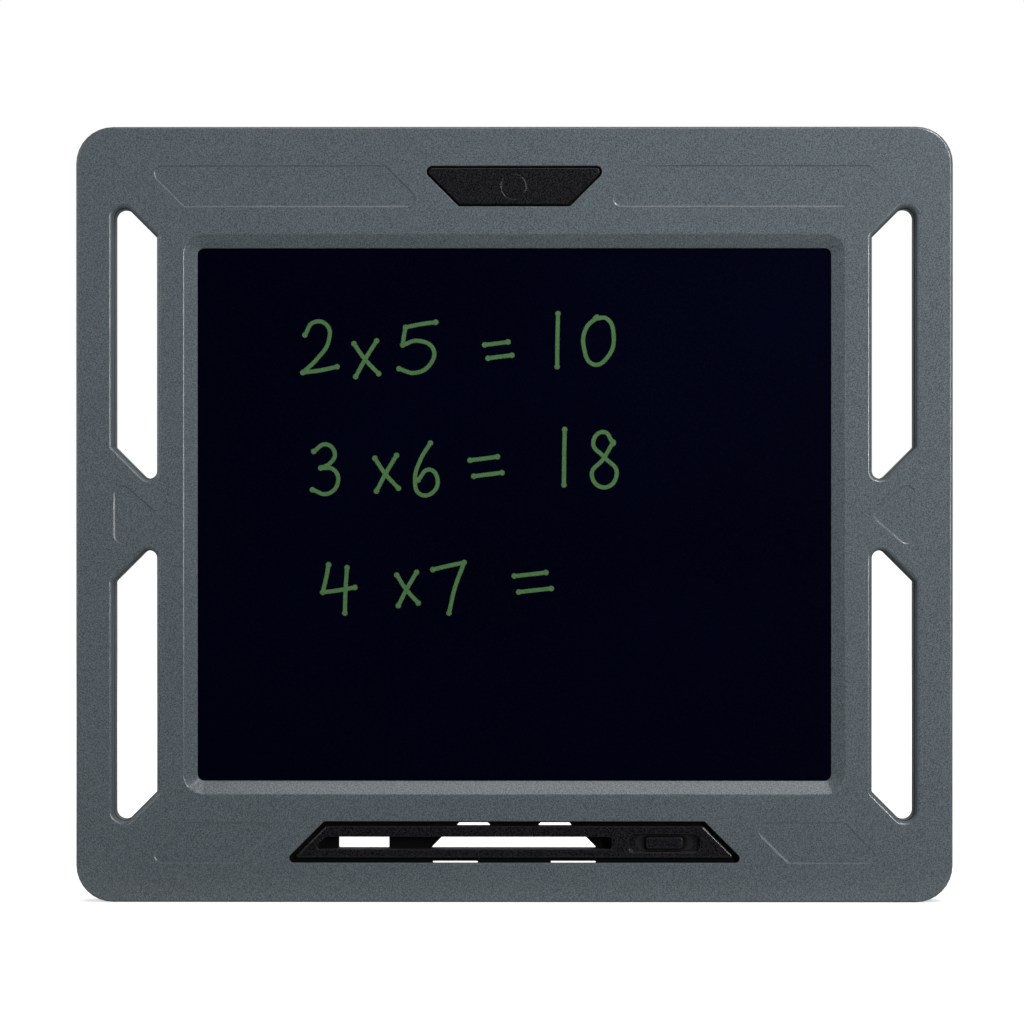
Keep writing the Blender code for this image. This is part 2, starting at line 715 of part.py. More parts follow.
def rear_cover():
    """The rear cover: a tub with a locating tongue, slot collars, ribs, a cell bay and screw wells."""
    bm = bmesh.new()
    inset = SIDE_WALL + FIT
    meeting = FRAME_DEPTH + SEAM
    rear = [(-inward, BODY_DEPTH - back) for inward, back in reversed(quarter_round(REAR_ROUND))]
    tongue = [(-inset, FRAME_DEPTH - TONGUE), (-inset, meeting), (0.0, meeting)]
    add_loft(bm, case_outline(), tongue + rear)
    cover = piece(bm, "rear_cover", case_plastic(), spot(0.0, 0.0, BODY_DEPTH))
    hollow = inset + TONGUE_WALL
    into_skin = BODY_DEPTH - REAR_SKIN / 2
    beyond = BODY_DEPTH + OVER
    cut(cover, loft_tool("cover_cavity", case_outline(),
                         [(-hollow, FRAME_DEPTH - TONGUE - OVER), (-hollow, REAR_INSIDE)]))
    join(cover, post_set_tool("cover_bosses", case_screw_places(), BOSS_RADIUS, BOSS_REAR + SEAT_GAP,
                              into_skin))
    join(cover, loft_set_tool("cover_collars", grip_outlines(), [(COLLAR, meeting), (COLLAR, into_skin)]))
    collar_front = DOCK_FLANGE_REAR + SEAT_GAP
    join(cover, loft_tool("cover_dock_collar", dock_outline(),
                          [(DOCK_FLANGE, collar_front), (DOCK_FLANGE, into_skin)]))
    bay_front = BOARD_REAR + BAY_CLEARANCE
    join(cover, loft_tool("cover_bay_wall", door_outline(),
                          [(BAY_WALL, bay_front), (BAY_WALL, into_skin)]))
    rib_front = PLATE_REAR + SEAT_GAP
    rib_depth = into_skin - rib_front
    reach = (WINDOW_WIDTH - 2 * RIB_MARGIN, WINDOW_HEIGHT - 2 * RIB_MARGIN)
    bm = bmesh.new()
    for column in (-1, 0, 1):
        add_box(bm, column * RIB_PITCH_X, 0.0, rib_front, (RIB, reach[1], rib_depth))
    join(cover, tool(bm, "cover_upright_ribs"))
    bm = bmesh.new()
    for row in (-1, 1):
        add_box(bm, 0.0, row * RIB_PITCH_UP, rib_front + SEAT_GAP, (reach[0], RIB, rib_depth))
    join(cover, tool(bm, "cover_level_ribs"))
    flare = [(inward - GRIP_STEP, BODY_DEPTH - back)
             for inward, back in reversed(quarter_round(GRIP_REAR_RIM))]
    slots = [(-GRIP_STEP, FRAME_DEPTH - OVER)] + flare + [(GRIP_REAR_RIM - GRIP_STEP, beyond)]
    cut(cover, loft_set_tool("cover_slots", grip_outlines(), slots))
    cut(cover, loft_tool("cover_dock_opening", dock_outline(),
                         [(DOCK_REAR_GAP, collar_front - OVER), (DOCK_REAR_GAP, beyond)]))
    cut(cover, loft_tool("cover_bay", bay_outline(), [(0.0, bay_front - OVER), (0.0, beyond)]))
    door_seat = DOOR_FRONT - SEAT_GAP
    cut(cover, loft_tool("cover_door_seat", door_outline(), [(FIT, door_seat), (FIT, beyond)]))
    cut(cover, post_set_tool("cover_door_hole", [(door_screw_x(), STRIP_UP)], DOOR_SCREW_RADIUS + SCREW_FIT,
                             bay_front - OVER, beyond, SCREW_SIDES))
    cut(cover, post_set_tool("cover_screw_holes", case_screw_places(), SCREW_RADIUS + SCREW_FIT,
                             BOSS_REAR - OVER, beyond, SCREW_SIDES))
    cut(cover, post_set_tool("cover_screw_wells", case_screw_places(), SCREW_HEAD_RADIUS + SCREW_FIT,
                             SCREW_HEAD_FRONT - SEAT_GAP, beyond, ROUND_SIDES))
    cut(cover, post_set_tool("cover_foot_seats", foot_places(), FOOT_RADIUS + FIT,
                             BODY_DEPTH - FOOT_SUNK - SEAT_GAP, beyond))


def writing_panel_stack():
    """The writing film behind the window, the tape that holds it, and its stiff backing plate."""
    border = rounded(window_outline(), PANEL_BORDER)
    inside = rounded(window_outline(), PANEL_BORDER - TAPE_WIDTH)
    flat_piece("panel_tape", [border, inside], TAPE_FRONT, TAPE_FRONT + TAPE_THICKNESS, tape_film())
    flat_piece("writing_panel", [border], PANEL_FRONT, PANEL_FRONT + PANEL_THICKNESS, panel_film())
    flat_piece("backing_plate", [border], PLATE_FRONT, PLATE_REAR, plate_plastic())


def panel_flex_tail():
    """The film tail that carries the erase pulse from the panel's upper edge to its connector."""
    leave = WINDOW_HEIGHT / 2 + PANEL_BORDER + SEAT_GAP
    enter = STRIP_UP - BOARD_HEIGHT / 2 + CONNECTOR_INSET
    shallow = PANEL_FRONT + PANEL_THICKNESS / 2
    deep = BOARD_FRONT - SEAT_GAP - CONNECTOR_DEPTH / 2
    third = (enter - leave) / 3
    route = [(leave, shallow), (leave + third, shallow), (enter - third, deep), (enter + TAIL_GRIP, deep)]
    bent_strip("panel_flex_tail", [spot(TAIL_X, up, depth) for up, depth in route],
               Vector((TAIL_WIDTH, 0.0, 0.0)), TAIL_THICKNESS, polyimide())


def erase_key():
    """The erase key: a hollow cap with a retaining flange, a ring pressed in its face and a post."""
    bm = bmesh.new()
    face = [(-KEY_GAP - inward, KEY_RECESS + back) for inward, back in quarter_round(KEY_ROUND)]
    flange_rear = FLANGE_FRONT + KEY_FLANGE_THICKNESS
    flange = [(-KEY_GAP, FLANGE_FRONT), (KEY_FLANGE, FLANGE_FRONT), (KEY_FLANGE, flange_rear)]
    add_loft(bm, key_outline(), face + flange)
    key = piece(bm, "erase_button", black_plastic(), spot(0.0, STRIP_UP, KEY_RECESS))
    wall = KEY_GAP + KEY_WALL
    cut(key, loft_tool("key_hollow", key_outline(), [(-wall, KEY_REAR), (-wall, flange_rear + OVER)]))
    join(key, post_set_tool("key_post", [(0.0, STRIP_UP)], KEY_POST_RADIUS, KEY_REAR - KEY_FACE / 2,
                            KEY_REAR + KEY_POST))
    bpy.ops.mesh.primitive_torus_add(major_radius=RING_RADIUS, minor_radius=RING_GROOVE,
                                     major_segments=RING_SIDES, minor_segments=RING_GROOVE_SIDES,
                                     location=spot(0.0, STRIP_UP, KEY_RECESS - RING_GROOVE / 4),
                                     rotation=(math.pi / 2, 0.0, 0.0))
    ring = bpy.context.object
    ring.name = "key_ring"
    ring.hide_render = True
    ring.display_type = "WIRE"
    for holder in list(ring.users_collection):
        holder.objects.unlink(ring)
    bpy.data.collections["tablet_cutters"].objects.link(ring)
    cut(key, ring)


def erase_switch():
    """The push switch under the key: a square body, and the stem that the key's post pushes."""
    bm = bmesh.new()
    add_box(bm, 0.0, STRIP_UP, SWITCH_FRONT, (SWITCH_SIZE, SWITCH_SIZE, SWITCH_BODY))
    body = piece(bm, "erase_switch_body", chip_epoxy(), spot(0.0, STRIP_UP, SWITCH_REAR))
    cut(body, post_set_tool("switch_bore", [(0.0, STRIP_UP)], STEM_RADIUS + SEAT_GAP, SWITCH_FRONT - OVER,
                            SWITCH_FRONT + STEM_BORE))
    length = STEM_OUT + STEM_IN
    turned_piece("erase_switch_plunger", 0.0, STRIP_UP, STEM_FRONT,
                 [(0.0, 0.0), (STEM_RADIUS, 0.0), (STEM_RADIUS, length), (0.0, length)], nylon())


def circuit_board():
    """The circuit board behind the key, with its mounting holes."""
    left = BOARD_SCREW_LEFT - BOARD_MARGIN
    right = CELL_X + CELL_RADIUS + CLIP_ROOM
    middle = (left + right) / 2
    edge = rounded(rectangle(right - left, BOARD_HEIGHT, BOARD_RADIUS, middle, STRIP_UP))
    hole = BOARD_SCREW_RADIUS + SCREW_FIT
    holes = [rounded(rectangle(2 * hole, 2 * hole, hole, x, up)) for x, up in board_screw_places()]
    flat_piece("circuit_board", [edge] + holes, BOARD_FRONT, BOARD_REAR, board_laminate())


def soldered_block(name, place, size, finish):
    """A square-edged component standing on the front of the circuit board."""
    x, up = place
    bm = bmesh.new()
    add_box(bm, x, STRIP_UP + up, BOARD_FRONT - SEAT_GAP - size[2], size)
    return piece(bm, name, finish, spot(x, STRIP_UP + up, BOARD_FRONT))


def board_components():
    """The driver chip, its capacitors, the boost inductor and the panel's connector."""
    chip = (CHIP_LENGTH, CHIP_HEIGHT, CHIP_DEPTH)
    soldered_block("driver_chip", (CHIP_X, CHIP_RISE), chip, chip_epoxy())
    for number in (1, 2):
        place = (CAPACITOR_X + (number - 1) * CAPACITOR_PITCH, CAPACITOR_RISE)
        size = (CAPACITOR_LENGTH, CAPACITOR_HEIGHT, CAPACITOR_DEPTH)
        soldered_block(f"capacitor_{number}", place, size, ceramic())
    turned_piece("boost_inductor", INDUCTOR_X, STRIP_UP + INDUCTOR_RISE,
                 BOARD_FRONT - SEAT_GAP - INDUCTOR_HEIGHT,
                 [(0.0, 0.0), (INDUCTOR_RADIUS, 0.0), (INDUCTOR_RADIUS, INDUCTOR_HEIGHT),
                  (0.0, INDUCTOR_HEIGHT)], ferrite())
    low = -BOARD_HEIGHT / 2 + CONNECTOR_INSET
    connector = soldered_block("flex_connector", (TAIL_X, low + CONNECTOR_HEIGHT / 2),
                               (CONNECTOR_LENGTH, CONNECTOR_HEIGHT, CONNECTOR_DEPTH), nylon())
    bm = bmesh.new()
    mouth = TAIL_THICKNESS + 2 * FIT
    reach = TAIL_GRIP + FIT
    add_box(bm, TAIL_X, STRIP_UP + low + (reach - OVER) / 2,
            BOARD_FRONT - SEAT_GAP - (CONNECTOR_DEPTH + mouth) / 2,
            (TAIL_WIDTH + 2 * FIT, reach + OVER, mouth))
    cut(connector, tool(bm, "connector_mouth"))


def coin_cell():
    """The coin cell, its cap towards the board, the leaf under it and the clip at its side."""
    turned_piece("coin_cell", CELL_X, STRIP_UP, CELL_FRONT,
                 [(0.0, 0.0), (CELL_CAP_RADIUS, 0.0), (CELL_CAP_RADIUS, CELL_STEP),
                  (CELL_RADIUS, CELL_STEP), (CELL_RADIUS, CELL_DEPTH), (0.0, CELL_DEPTH)], steel())
    bm = bmesh.new()
    add_box(bm, CELL_X, STRIP_UP, LEAF_FRONT, (LEAF_LENGTH, CONTACT_WIDTH, CONTACT))
    piece(bm, "battery_leaf_negative", spring_metal(), spot(CELL_X, STRIP_UP, LEAF_FRONT))
    wall = CELL_X + CELL_RADIUS + SEAT_GAP + CONTACT / 2
    foot = LEAF_FRONT + CONTACT / 2
    finger = CLIP_REAR - CONTACT / 2
    route = [(wall + CLIP_FOOT, foot), (wall, foot), (wall, finger), (wall - CLIP_FINGER, finger)]
    bent_strip("battery_clip_positive", [spot(x, STRIP_UP, depth) for x, depth in route],
               Vector((0.0, 0.0, CONTACT_WIDTH)), CONTACT, spring_metal())


def battery_door():
    """The cell's door, with a well for its screw and grooves for a fingertip."""
    bm = bmesh.new()
    add_loft(bm, door_outline(), [(0.0, DOOR_FRONT), (0.0, BODY_DEPTH)])
    door = piece(bm, "battery_door", case_plastic(), spot(CELL_X, STRIP_UP, DOOR_FRONT))
    place = [(door_screw_x(), STRIP_UP)]
    head_front = BODY_DEPTH - DOOR_SCREW_HEAD
    beyond = BODY_DEPTH + OVER
    cut(door, post_set_tool("door_screw_hole", place, DOOR_SCREW_RADIUS + SCREW_FIT, DOOR_FRONT - OVER,
                            beyond, SCREW_SIDES))
    cut(door, post_set_tool("door_screw_well", place, DOOR_SCREW_HEAD_RADIUS + SCREW_FIT,
                            head_front - SEAT_GAP, beyond))
    bm = bmesh.new()
    for row in range(DOOR_GROOVES):
        x = CELL_X - CELL_RADIUS + row * DOOR_GROOVE_PITCH
        add_box(bm, x, STRIP_UP, BODY_DEPTH - DOOR_GROOVE, (DOOR_GROOVE_PITCH / 2, DOOR_GROOVE_LENGTH,
                                                            DOOR_GROOVE + OVER))
    cut(door, tool(bm, "door_grooves"))
    turned_screw("battery_door_screw", place[0], BODY_DEPTH, DOOR_SCREW_HEAD, DOOR_SCREW_HEAD_RADIUS,
                 DOOR_SCREW_RADIUS, DOOR_THICKNESS + DOOR_SCREW_BITE)


def turned_screw(name, place, rear, head, head_radius, radius, length):
    """A pan-head screw driven in from behind: its head ends at the rear depth given."""
    profile = [(0.0, 0.0), (radius, 0.0), (radius, length - head), (head_radius, length - head),
               (head_radius, length), (0.0, length)]
    turned_piece(name, place[0], place[1], rear - length, profile, steel(), SCREW_SIDES)


def screws():
    """The screws that hold the case together and the board to the frame."""
    rear = SCREW_HEAD_FRONT + SCREW_HEAD
    for number, place in enumerate(case_screw_places(), 1):
        turned_screw(f"case_screw_{number:02d}", place, rear, SCREW_HEAD, SCREW_HEAD_RADIUS, SCREW_RADIUS,
                     rear - SCREW_TIP)
    rear = BOARD_REAR + SEAT_GAP + BOARD_SCREW_HEAD
    for number, place in enumerate(board_screw_places(), 1):
        turned_screw(f"board_screw_{number}", place, rear, BOARD_SCREW_HEAD, BOARD_SCREW_HEAD_RADIUS,
                     BOARD_SCREW_RADIUS, rear - BOARD_FRONT + BOARD_SCREW_BITE)


def stylus_dock():
    """The stylus dock: a raised bar, a flange behind the skin, a clip channel and a snap catch."""
    bm = bmesh.new()
    outline = dock_outline()
    face = [(-DOCK_GAP - inward, DOCK_RECESS + back) for inward, back in quarter_round(DOCK_ROUND)]
    flange = [(-DOCK_GAP, FLANGE_FRONT), (DOCK_FLANGE, FLANGE_FRONT), (DOCK_FLANGE, DOCK_FLANGE_REAR)]
    add_loft(bm, outline, face + flange)
    dock = piece(bm, "stylus_dock", black_plastic(), spot(0.0, -STRIP_UP, DOCK_RECESS))
    middle = -STRIP_UP
    half = CHANNEL_WIDTH / 2
    lean = half / math.tan(END_SLANT)
    end = DOCK_LENGTH / 2 + STRIP_RUN / 2 - DOCK_GAP / math.sin(END_SLANT)
    pocket_x = end - POCKET_INSET - POCKET_LENGTH / 2
    left, right = CHANNEL_INSET - end, pocket_x - POCKET_LENGTH / 2 - POCKET_TO_CHANNEL
    channel = [(left - lean, middle - half, CHANNEL_RADIUS), (right, middle - half, CHANNEL_RADIUS),
               (right, middle + half, CHANNEL_RADIUS), (left + lean, middle + half, CHANNEL_RADIUS)]
    inside_flange = DOCK_FLANGE_REAR - DOCK_FLANGE_THICKNESS / 2
    floor_rear = CHANNEL_FLOOR + DOCK_WALL
    join(dock, loft_tool("dock_channel_walls", channel,
                         [(DOCK_WALL, inside_flange), (DOCK_WALL, floor_rear)]))
    pocket = rectangle(POCKET_LENGTH, POCKET_HEIGHT, POCKET_RADIUS, pocket_x, middle)
    pocket_floor = DOCK_RECESS + POCKET_DEPTH
    join(dock, loft_tool("dock_pocket_walls", pocket,
                         [(DOCK_WALL, inside_flange), (DOCK_WALL, pocket_floor + DOCK_WALL)]))
    before = DOCK_RECESS - OVER
    cut(dock, loft_tool("dock_channel", channel, [(0.0, before), (0.0, CHANNEL_FLOOR)]))
    short_left = left + SHORT_WINDOW_INSET
    short_window = rectangle(SHORT_WINDOW, CHANNEL_WIDTH, SMALLEST_ARC, short_left + SHORT_WINDOW / 2, middle)
    long_left, long_right = short_left + SHORT_WINDOW + WINDOW_BRIDGE, right - LONG_WINDOW_INSET
    long_window = [(long_left - lean, middle - half, SMALLEST_ARC),
                   (long_right + lean, middle - half, SMALLEST_ARC),
                   (long_right - lean, middle + half, SMALLEST_ARC),
                   (long_left + lean, middle + half, SMALLEST_ARC)]
    cut(dock, loft_set_tool("dock_windows", [long_window, short_window],
                            [(-WINDOW_LEDGE, before), (-WINDOW_LEDGE, floor_rear + OVER)]))
    cut(dock, loft_tool("dock_pocket", pocket, [(0.0, before), (0.0, pocket_floor)]))
    catch = rectangle(CATCH_LENGTH, CATCH_HEIGHT, POCKET_RADIUS / 2, pocket_x, middle)
    join(dock, loft_tool("dock_catch", catch,
                         [(-CATCH_DRAFT, DOCK_RECESS + CATCH_SINK), (0.0, pocket_floor),
                          (0.0, pocket_floor + DOCK_WALL / 2)]))
    cut(dock, dock_notches())


def dock_notches():
    """Notches through the dock's flange along its long edges, two above and two below."""
    upper_edge, lower_edge = -STRIP_LOW, -STRIP_HIGH
    rows = [(UPPER_NOTCH_X, UPPER_NOTCH, upper_edge - DOCK_GAP + UPPER_NOTCH_LEDGE,
             upper_edge + NOTCH_REACH),
            (LOWER_NOTCH_X, LOWER_NOTCH, lower_edge - NOTCH_REACH,
             lower_edge + DOCK_GAP - LOWER_NOTCH_LEDGE)]
    bm = bmesh.new()
    depth = DOCK_FLANGE_THICKNESS + 2 * OVER
    for x, length, low, high in rows:
        for side in (1, -1):
            add_box(bm, side * x, (low + high) / 2, FLANGE_FRONT - OVER, (length, high - low, depth))
    return tool(bm, "dock_notches")


def rubber_feet():
    """Four rubber feet, glued in shallow seats on the back."""
    height = FOOT_SUNK + FOOT_PROUD
    for number, (x, up) in enumerate(foot_places(), 1):
        profile = [(0.0, 0.0), (FOOT_RADIUS, 0.0), (FOOT_RADIUS, height - FOOT_ROUND),
                   (FOOT_RADIUS - FOOT_ROUND, height), (0.0, height)]
        turned_piece(f"rubber_foot_{number}", x, up, BODY_DEPTH - FOOT_SUNK, profile, rubber())


def main():
    for old in list(bpy.data.objects):
        bpy.data.objects.remove(old)
    for name in ("lcd_writing_tablet", "tablet_cutters"):
        bpy.context.scene.collection.children.link(bpy.data.collections.new(name))
    origin = bpy.data.objects.new("tablet_origin", None)
    bpy.data.collections["lcd_writing_tablet"].objects.link(origin)
    front_frame()
    rear_cover()
    writing_panel_stack()
    panel_flex_tail()
    erase_key()
    erase_switch()
    circuit_board()
    board_components()
    coin_cell()
    battery_door()
    screws()
    stylus_dock()
    rubber_feet()


main()
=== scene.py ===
# %% [markdown]
# # An LCD writing tablet
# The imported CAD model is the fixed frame: it gives every piece its place and its motion. This
# script dresses it, so that the moulded case, the black key and dock, the dark film and the
# green writing look as they do in a studio picture taken square on to the front.

# %% Load the frame
import math

import bmesh
import bpy
from mathutils import Matrix, Vector


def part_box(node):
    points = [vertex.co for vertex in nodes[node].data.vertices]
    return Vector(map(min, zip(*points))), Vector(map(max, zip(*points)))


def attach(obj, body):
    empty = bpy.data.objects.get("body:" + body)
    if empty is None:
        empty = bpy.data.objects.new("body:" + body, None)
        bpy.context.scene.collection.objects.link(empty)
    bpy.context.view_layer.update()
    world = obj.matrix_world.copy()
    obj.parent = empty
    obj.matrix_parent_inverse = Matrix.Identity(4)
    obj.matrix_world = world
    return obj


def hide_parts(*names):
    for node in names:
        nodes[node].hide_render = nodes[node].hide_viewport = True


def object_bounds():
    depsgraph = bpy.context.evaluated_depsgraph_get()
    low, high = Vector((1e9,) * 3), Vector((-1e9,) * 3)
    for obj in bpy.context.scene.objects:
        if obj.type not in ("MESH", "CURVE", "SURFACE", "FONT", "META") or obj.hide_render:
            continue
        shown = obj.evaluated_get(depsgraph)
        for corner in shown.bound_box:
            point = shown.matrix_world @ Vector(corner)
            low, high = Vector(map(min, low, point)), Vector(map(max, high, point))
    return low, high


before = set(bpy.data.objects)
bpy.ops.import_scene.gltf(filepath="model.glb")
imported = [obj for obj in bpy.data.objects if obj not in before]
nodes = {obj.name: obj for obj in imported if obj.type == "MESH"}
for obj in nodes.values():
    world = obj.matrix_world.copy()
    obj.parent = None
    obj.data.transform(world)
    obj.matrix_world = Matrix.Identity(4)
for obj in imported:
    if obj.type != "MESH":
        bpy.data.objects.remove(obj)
cad_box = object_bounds()
print("CAD box in mm:", [[round(value * 1000, 1) for value in corner] for corner in cad_box])

# %% [markdown]
# ## Places in millimetres
# The tablet stands on its lower edge and faces -Y. It is easiest to think of it as a drawing:
# how far across from the middle, how far up from the middle, and how deep behind the front face.
# Pieces are modelled in that space, in millimetres, because Blender's fill loses details of a
# tenth of a millimetre when they are written in metres. One matrix then puts them in the frame.

# %% The drawing and the frame
MM = 0.001
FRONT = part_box("front_frame")[0].y
MIDDLE = (cad_box[0].z + cad_box[1].z) / 2
BODY_DEPTH = (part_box("rear_cover")[1].y - FRONT) / MM
DRAWING = Matrix.Translation((0.0, FRONT, MIDDLE)) @ Matrix.Scale(MM, 4)


def place(across, up, depth):
    """A point of the drawing: millimetres across, behind the front face, and up."""
    return Vector((across, depth, up))


print(f"front face at y = {FRONT / MM:.1f} mm, body {BODY_DEPTH:.1f} mm deep")

# %% [markdown]
# ## Outlines with rounded corners
# Every moulded opening here is a flat outline that runs back into the case. An outline could be
# drawn as a curve, but a face of a few vertices is enough: a vertex bevel rounds each corner. At
# a slanted corner that bevel draws an ellipse, so its reach is set to touch the middle of the
# true arc, and a sharp corner is first cut into two blunt ones, which come out nearly round.

# %% Drawing an outline
CORNER_STEPS = 8
# A corner is sharp where the cosine of its turn is below this.
SHARP_TURN = -0.1


def arms(corners, index):
    """Unit vectors from the corner before to this one, and from this one to the next."""
    here = Vector(corners[index][:2])
    into = here - Vector(corners[index - 1][:2])
    away = Vector(corners[(index + 1) % len(corners)][:2]) - here
    return into.normalized(), away.normalized()


def grown(corners, by):
    """The same outline, grown outwards evenly, with its corner radii grown to match."""
    moved = []
    for index, (across, up, radius) in enumerate(corners):
        into, away = arms(corners, index)
        first, last = Vector((into.y, -into.x)), Vector((away.y, -away.x))
        step = (first + last) / (1 + first.dot(last)) * by
        moved.append((across + step.x, up + step.y, max(radius + by, 0.0)))
    return moved


def arc_cut(radius, into, away):
    """How far along its edges a corner is cut by the line that touches the middle of its arc."""
    half = (math.pi - into.angle(away)) / 2
    return radius * (1 / math.sin(half) - 1) / math.cos(half)


def blunted(corners):
    """The same outline with each sharp corner cut into two blunt ones."""
    cut = []
    for index, (across, up, radius) in enumerate(corners):
        into, away = arms(corners, index)
        if radius > 0.0 and into.dot(away) < SHARP_TURN:
            step = arc_cut(radius, into, away)
            cut += [(across - into.x * step, up - into.y * step, radius),
                    (across + away.x * step, up + away.y * step, radius)]
        else:
            cut.append((across, up, radius))
    return cut


def add_outline(bm, corners, depth, front=True):
    """One flat face with rounded corners, facing the front or the back."""
    before = set(bm.faces)
    corners = blunted(corners)
    verts = [bm.verts.new(place(across, up, depth)) for across, up, radius in corners]
    bm.faces.new(verts if front else verts[::-1])
    for index, vert in enumerate(verts):
        reach = arc_cut(corners[index][2], *arms(corners, index)) * (1 + math.sqrt(0.5))
        if reach > 0.0:
            bmesh.ops.bevel(bm, geom=[vert], offset=reach, offset_type="OFFSET", profile=0.5,
                            segments=CORNER_STEPS, affect="VERTICES", material=-1)
    return next(face for face in bm.faces if face not in before)


def add_disc(bm, across, up, radius, depth, front=True, sides=40):
    """One round face, facing the front or the back."""
    before = set(bm.faces)
    upright = Matrix.Translation(place(across, up, depth)) @ Matrix.Rotation(math.pi / 2, 4, "X")
    bmesh.ops.create_circle(bm, cap_ends=True, segments=sides, radius=radius, matrix=upright)
    face = next(face for face in bm.faces if face not in before)
    face.normal_update()
    if (face.normal.y < 0) != front:
        face.normal_flip()
    return face


# %% [markdown]
# ## Walls, rims and floors
# From an outline, the inset operator makes everything else. Each step moves the face inwards
# and deeper and leaves a ring of wall behind it; a negative step goes outwards or back up. A
# roll of short steps is a rounded rim. What stays open at one level is then filled at once,
# which leaves the holes open because their edges are part of the fill.

# %% Sinking a face and closing a level
ROLL_STEPS, LEVEL_SLACK = 5, 0.004


def push(bm, face, steps, opened=False):
    """Insets a face by (inwards, deeper) steps, and removes it at the end where it is a hole."""
    for inwards, deeper in steps:
        bmesh.ops.inset_individual(bm, faces=[face], thickness=inwards, depth=-deeper,
                                   use_even_offset=True)
    if opened:
        bmesh.ops.delete(bm, geom=[face], context="FACES_ONLY")


def roll_in(radius, steps=ROLL_STEPS):
    """Steps over a rounded rim, from a face into a wall."""
    turns = [math.pi / 2 * step / steps for step in range(steps + 1)]
    return [(radius * (math.sin(b) - math.sin(a)), radius * (math.cos(a) - math.cos(b)))
            for a, b in zip(turns, turns[1:])]


def roll_out(radius, steps=ROLL_STEPS):
    """Steps over a rounded edge, from a wall up to a face."""
    return [(inwards, -deeper) for inwards, deeper in reversed(roll_in(radius, steps))]


def roll_down(radius, steps=ROLL_STEPS):
    """Steps round a hollow corner, from a wall on to a floor."""
    return list(reversed(roll_in(radius, steps)))


def close_level(bm, depth):
    """Fills all the open loops at one depth, and keeps the holes between them."""
    rim = [edge for edge in bm.edges if edge.is_boundary
           and all(abs(vert.co.y - depth) < LEVEL_SLACK for vert in edge.verts)]
    bmesh.ops.triangle_fill(bm, use_beauty=True, edges=rim)


# %% [markdown]
# ## Keeping a piece
# A finished piece is smooth where its steps are gentle and sharp where they aren't. Weighted
# normals keep the large flat faces flat beside their small rolled edges. Then the piece gets its
# finish, is parented to the body it moves with, and hides the CAD nodes it stands for.
# The mouldings also keep an attribute that tells walls from faces; it masks the painted wall shade.

# %% Finishing a mesh
SHARP_ANGLE = math.radians(35)


# This slant is the mask of the painted shade and the dull finish on walls.
def mark_walls(bm):
    """Keeps at each vertex the slant of the steepest face there: 0 on a face, 1 on a wall."""
    wall = bm.verts.layers.float.new("wall")
    bm.normal_update()
    for vert in bm.verts:
        vert[wall] = max(1 - abs(face.normal.y) for face in vert.link_faces)


def keep(bm, name, finish, body, replaced=()):
    """A shown piece from a bmesh of the drawing, moved to its place in the frame."""
    bmesh.ops.transform(bm, matrix=DRAWING, verts=bm.verts)
    bmesh.ops.recalc_face_normals(bm, faces=bm.faces)
    open_edges = sum(not edge.is_manifold for edge in bm.edges)
    mesh = bpy.data.meshes.new(name)
    bm.to_mesh(mesh)
    bm.free()
    mesh.materials.append(finish)
    mesh.shade_smooth()
    mesh.set_sharp_from_angle(angle=SHARP_ANGLE)
    piece = bpy.data.objects.new(name, mesh)
    bpy.context.scene.collection.objects.link(piece)
    even = piece.modifiers.new("even_shading", "WEIGHTED_NORMAL")
    even.keep_sharp = True
    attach(piece, body)
    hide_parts(*replaced)
    print(f"{name}: {len(mesh.polygons)} faces, {open_edges} open edges")
    return piece


# %% [markdown]
# ## Colours and nodes
# Colours are written as the hex values a picture editor shows, which are sRGB. Shaders work in
# linear light, so one function converts them. Another adds a node, sets what is constant and
# links what isn't. Three more build on it: one mixes two colours, one turns a range of values
# into another, and one makes a noise whose features have a size in millimetres.

# %% Colour and node helpers
def linear(code):
    """Linear colour of an sRGB hex code."""
    values = [int(code[start:start + 2], 16) / 255 for start in (0, 2, 4)]
    return [v / 12.92 if v <= 0.04045 else ((v + 0.055) / 1.055) ** 2.4 for v in values] + [1.0]


def add_node(tree, kind, inputs=None, **settings):
    """Adds a shader node; inputs holds constant values or the sockets to link."""
    node = tree.nodes.new("ShaderNode" + kind)
    for name, value in settings.items():
        setattr(node, name, value)
    for name, value in (inputs or {}).items():
        if isinstance(value, bpy.types.NodeSocket):
            tree.links.new(value, node.inputs[name])
        else:
            node.inputs[name].default_value = value
    return node


def new_material(name, **constants):
    """An empty Principled material with its constant sockets set."""
    made = bpy.data.materials.new(name)
    made.use_nodes = True
    shader = made.node_tree.nodes["Principled BSDF"]
    for socket, value in constants.items():
        shader.inputs[socket.replace("_", " ")].default_value = value
    return made, made.node_tree, shader


def per_metre(size_mm):
    """A texture scale whose features are about this many millimetres."""
    return 1 / (size_mm * MM)


def mixed(tree, factor, first, second, kind="RGBA"):
    """The first colour or value, turned into the second as the factor rises."""
    blend = add_node(tree, "Mix", {"Factor": factor, "A": first, "B": second}, data_type=kind)
    return blend.outputs["Result"]


def ranged(tree, value, low=0.0, high=1.0, start=0.0, end=1.0, ease="LINEAR"):
    """A value between low and high, turned into one between start and end."""
    spans = {"Value": value, "From Min": low, "From Max": high, "To Min": start, "To Max": end}
    return add_node(tree, "MapRange", spans, interpolation_type=ease).outputs["Result"]


def noise(tree, where, size_mm, detail):
    """A noise whose features are about this many millimetres."""
    inputs = {"Vector": where, "Scale": per_metre(size_mm), "Detail": detail}
    return add_node(tree, "TexNoise", inputs).outputs["Fac"]
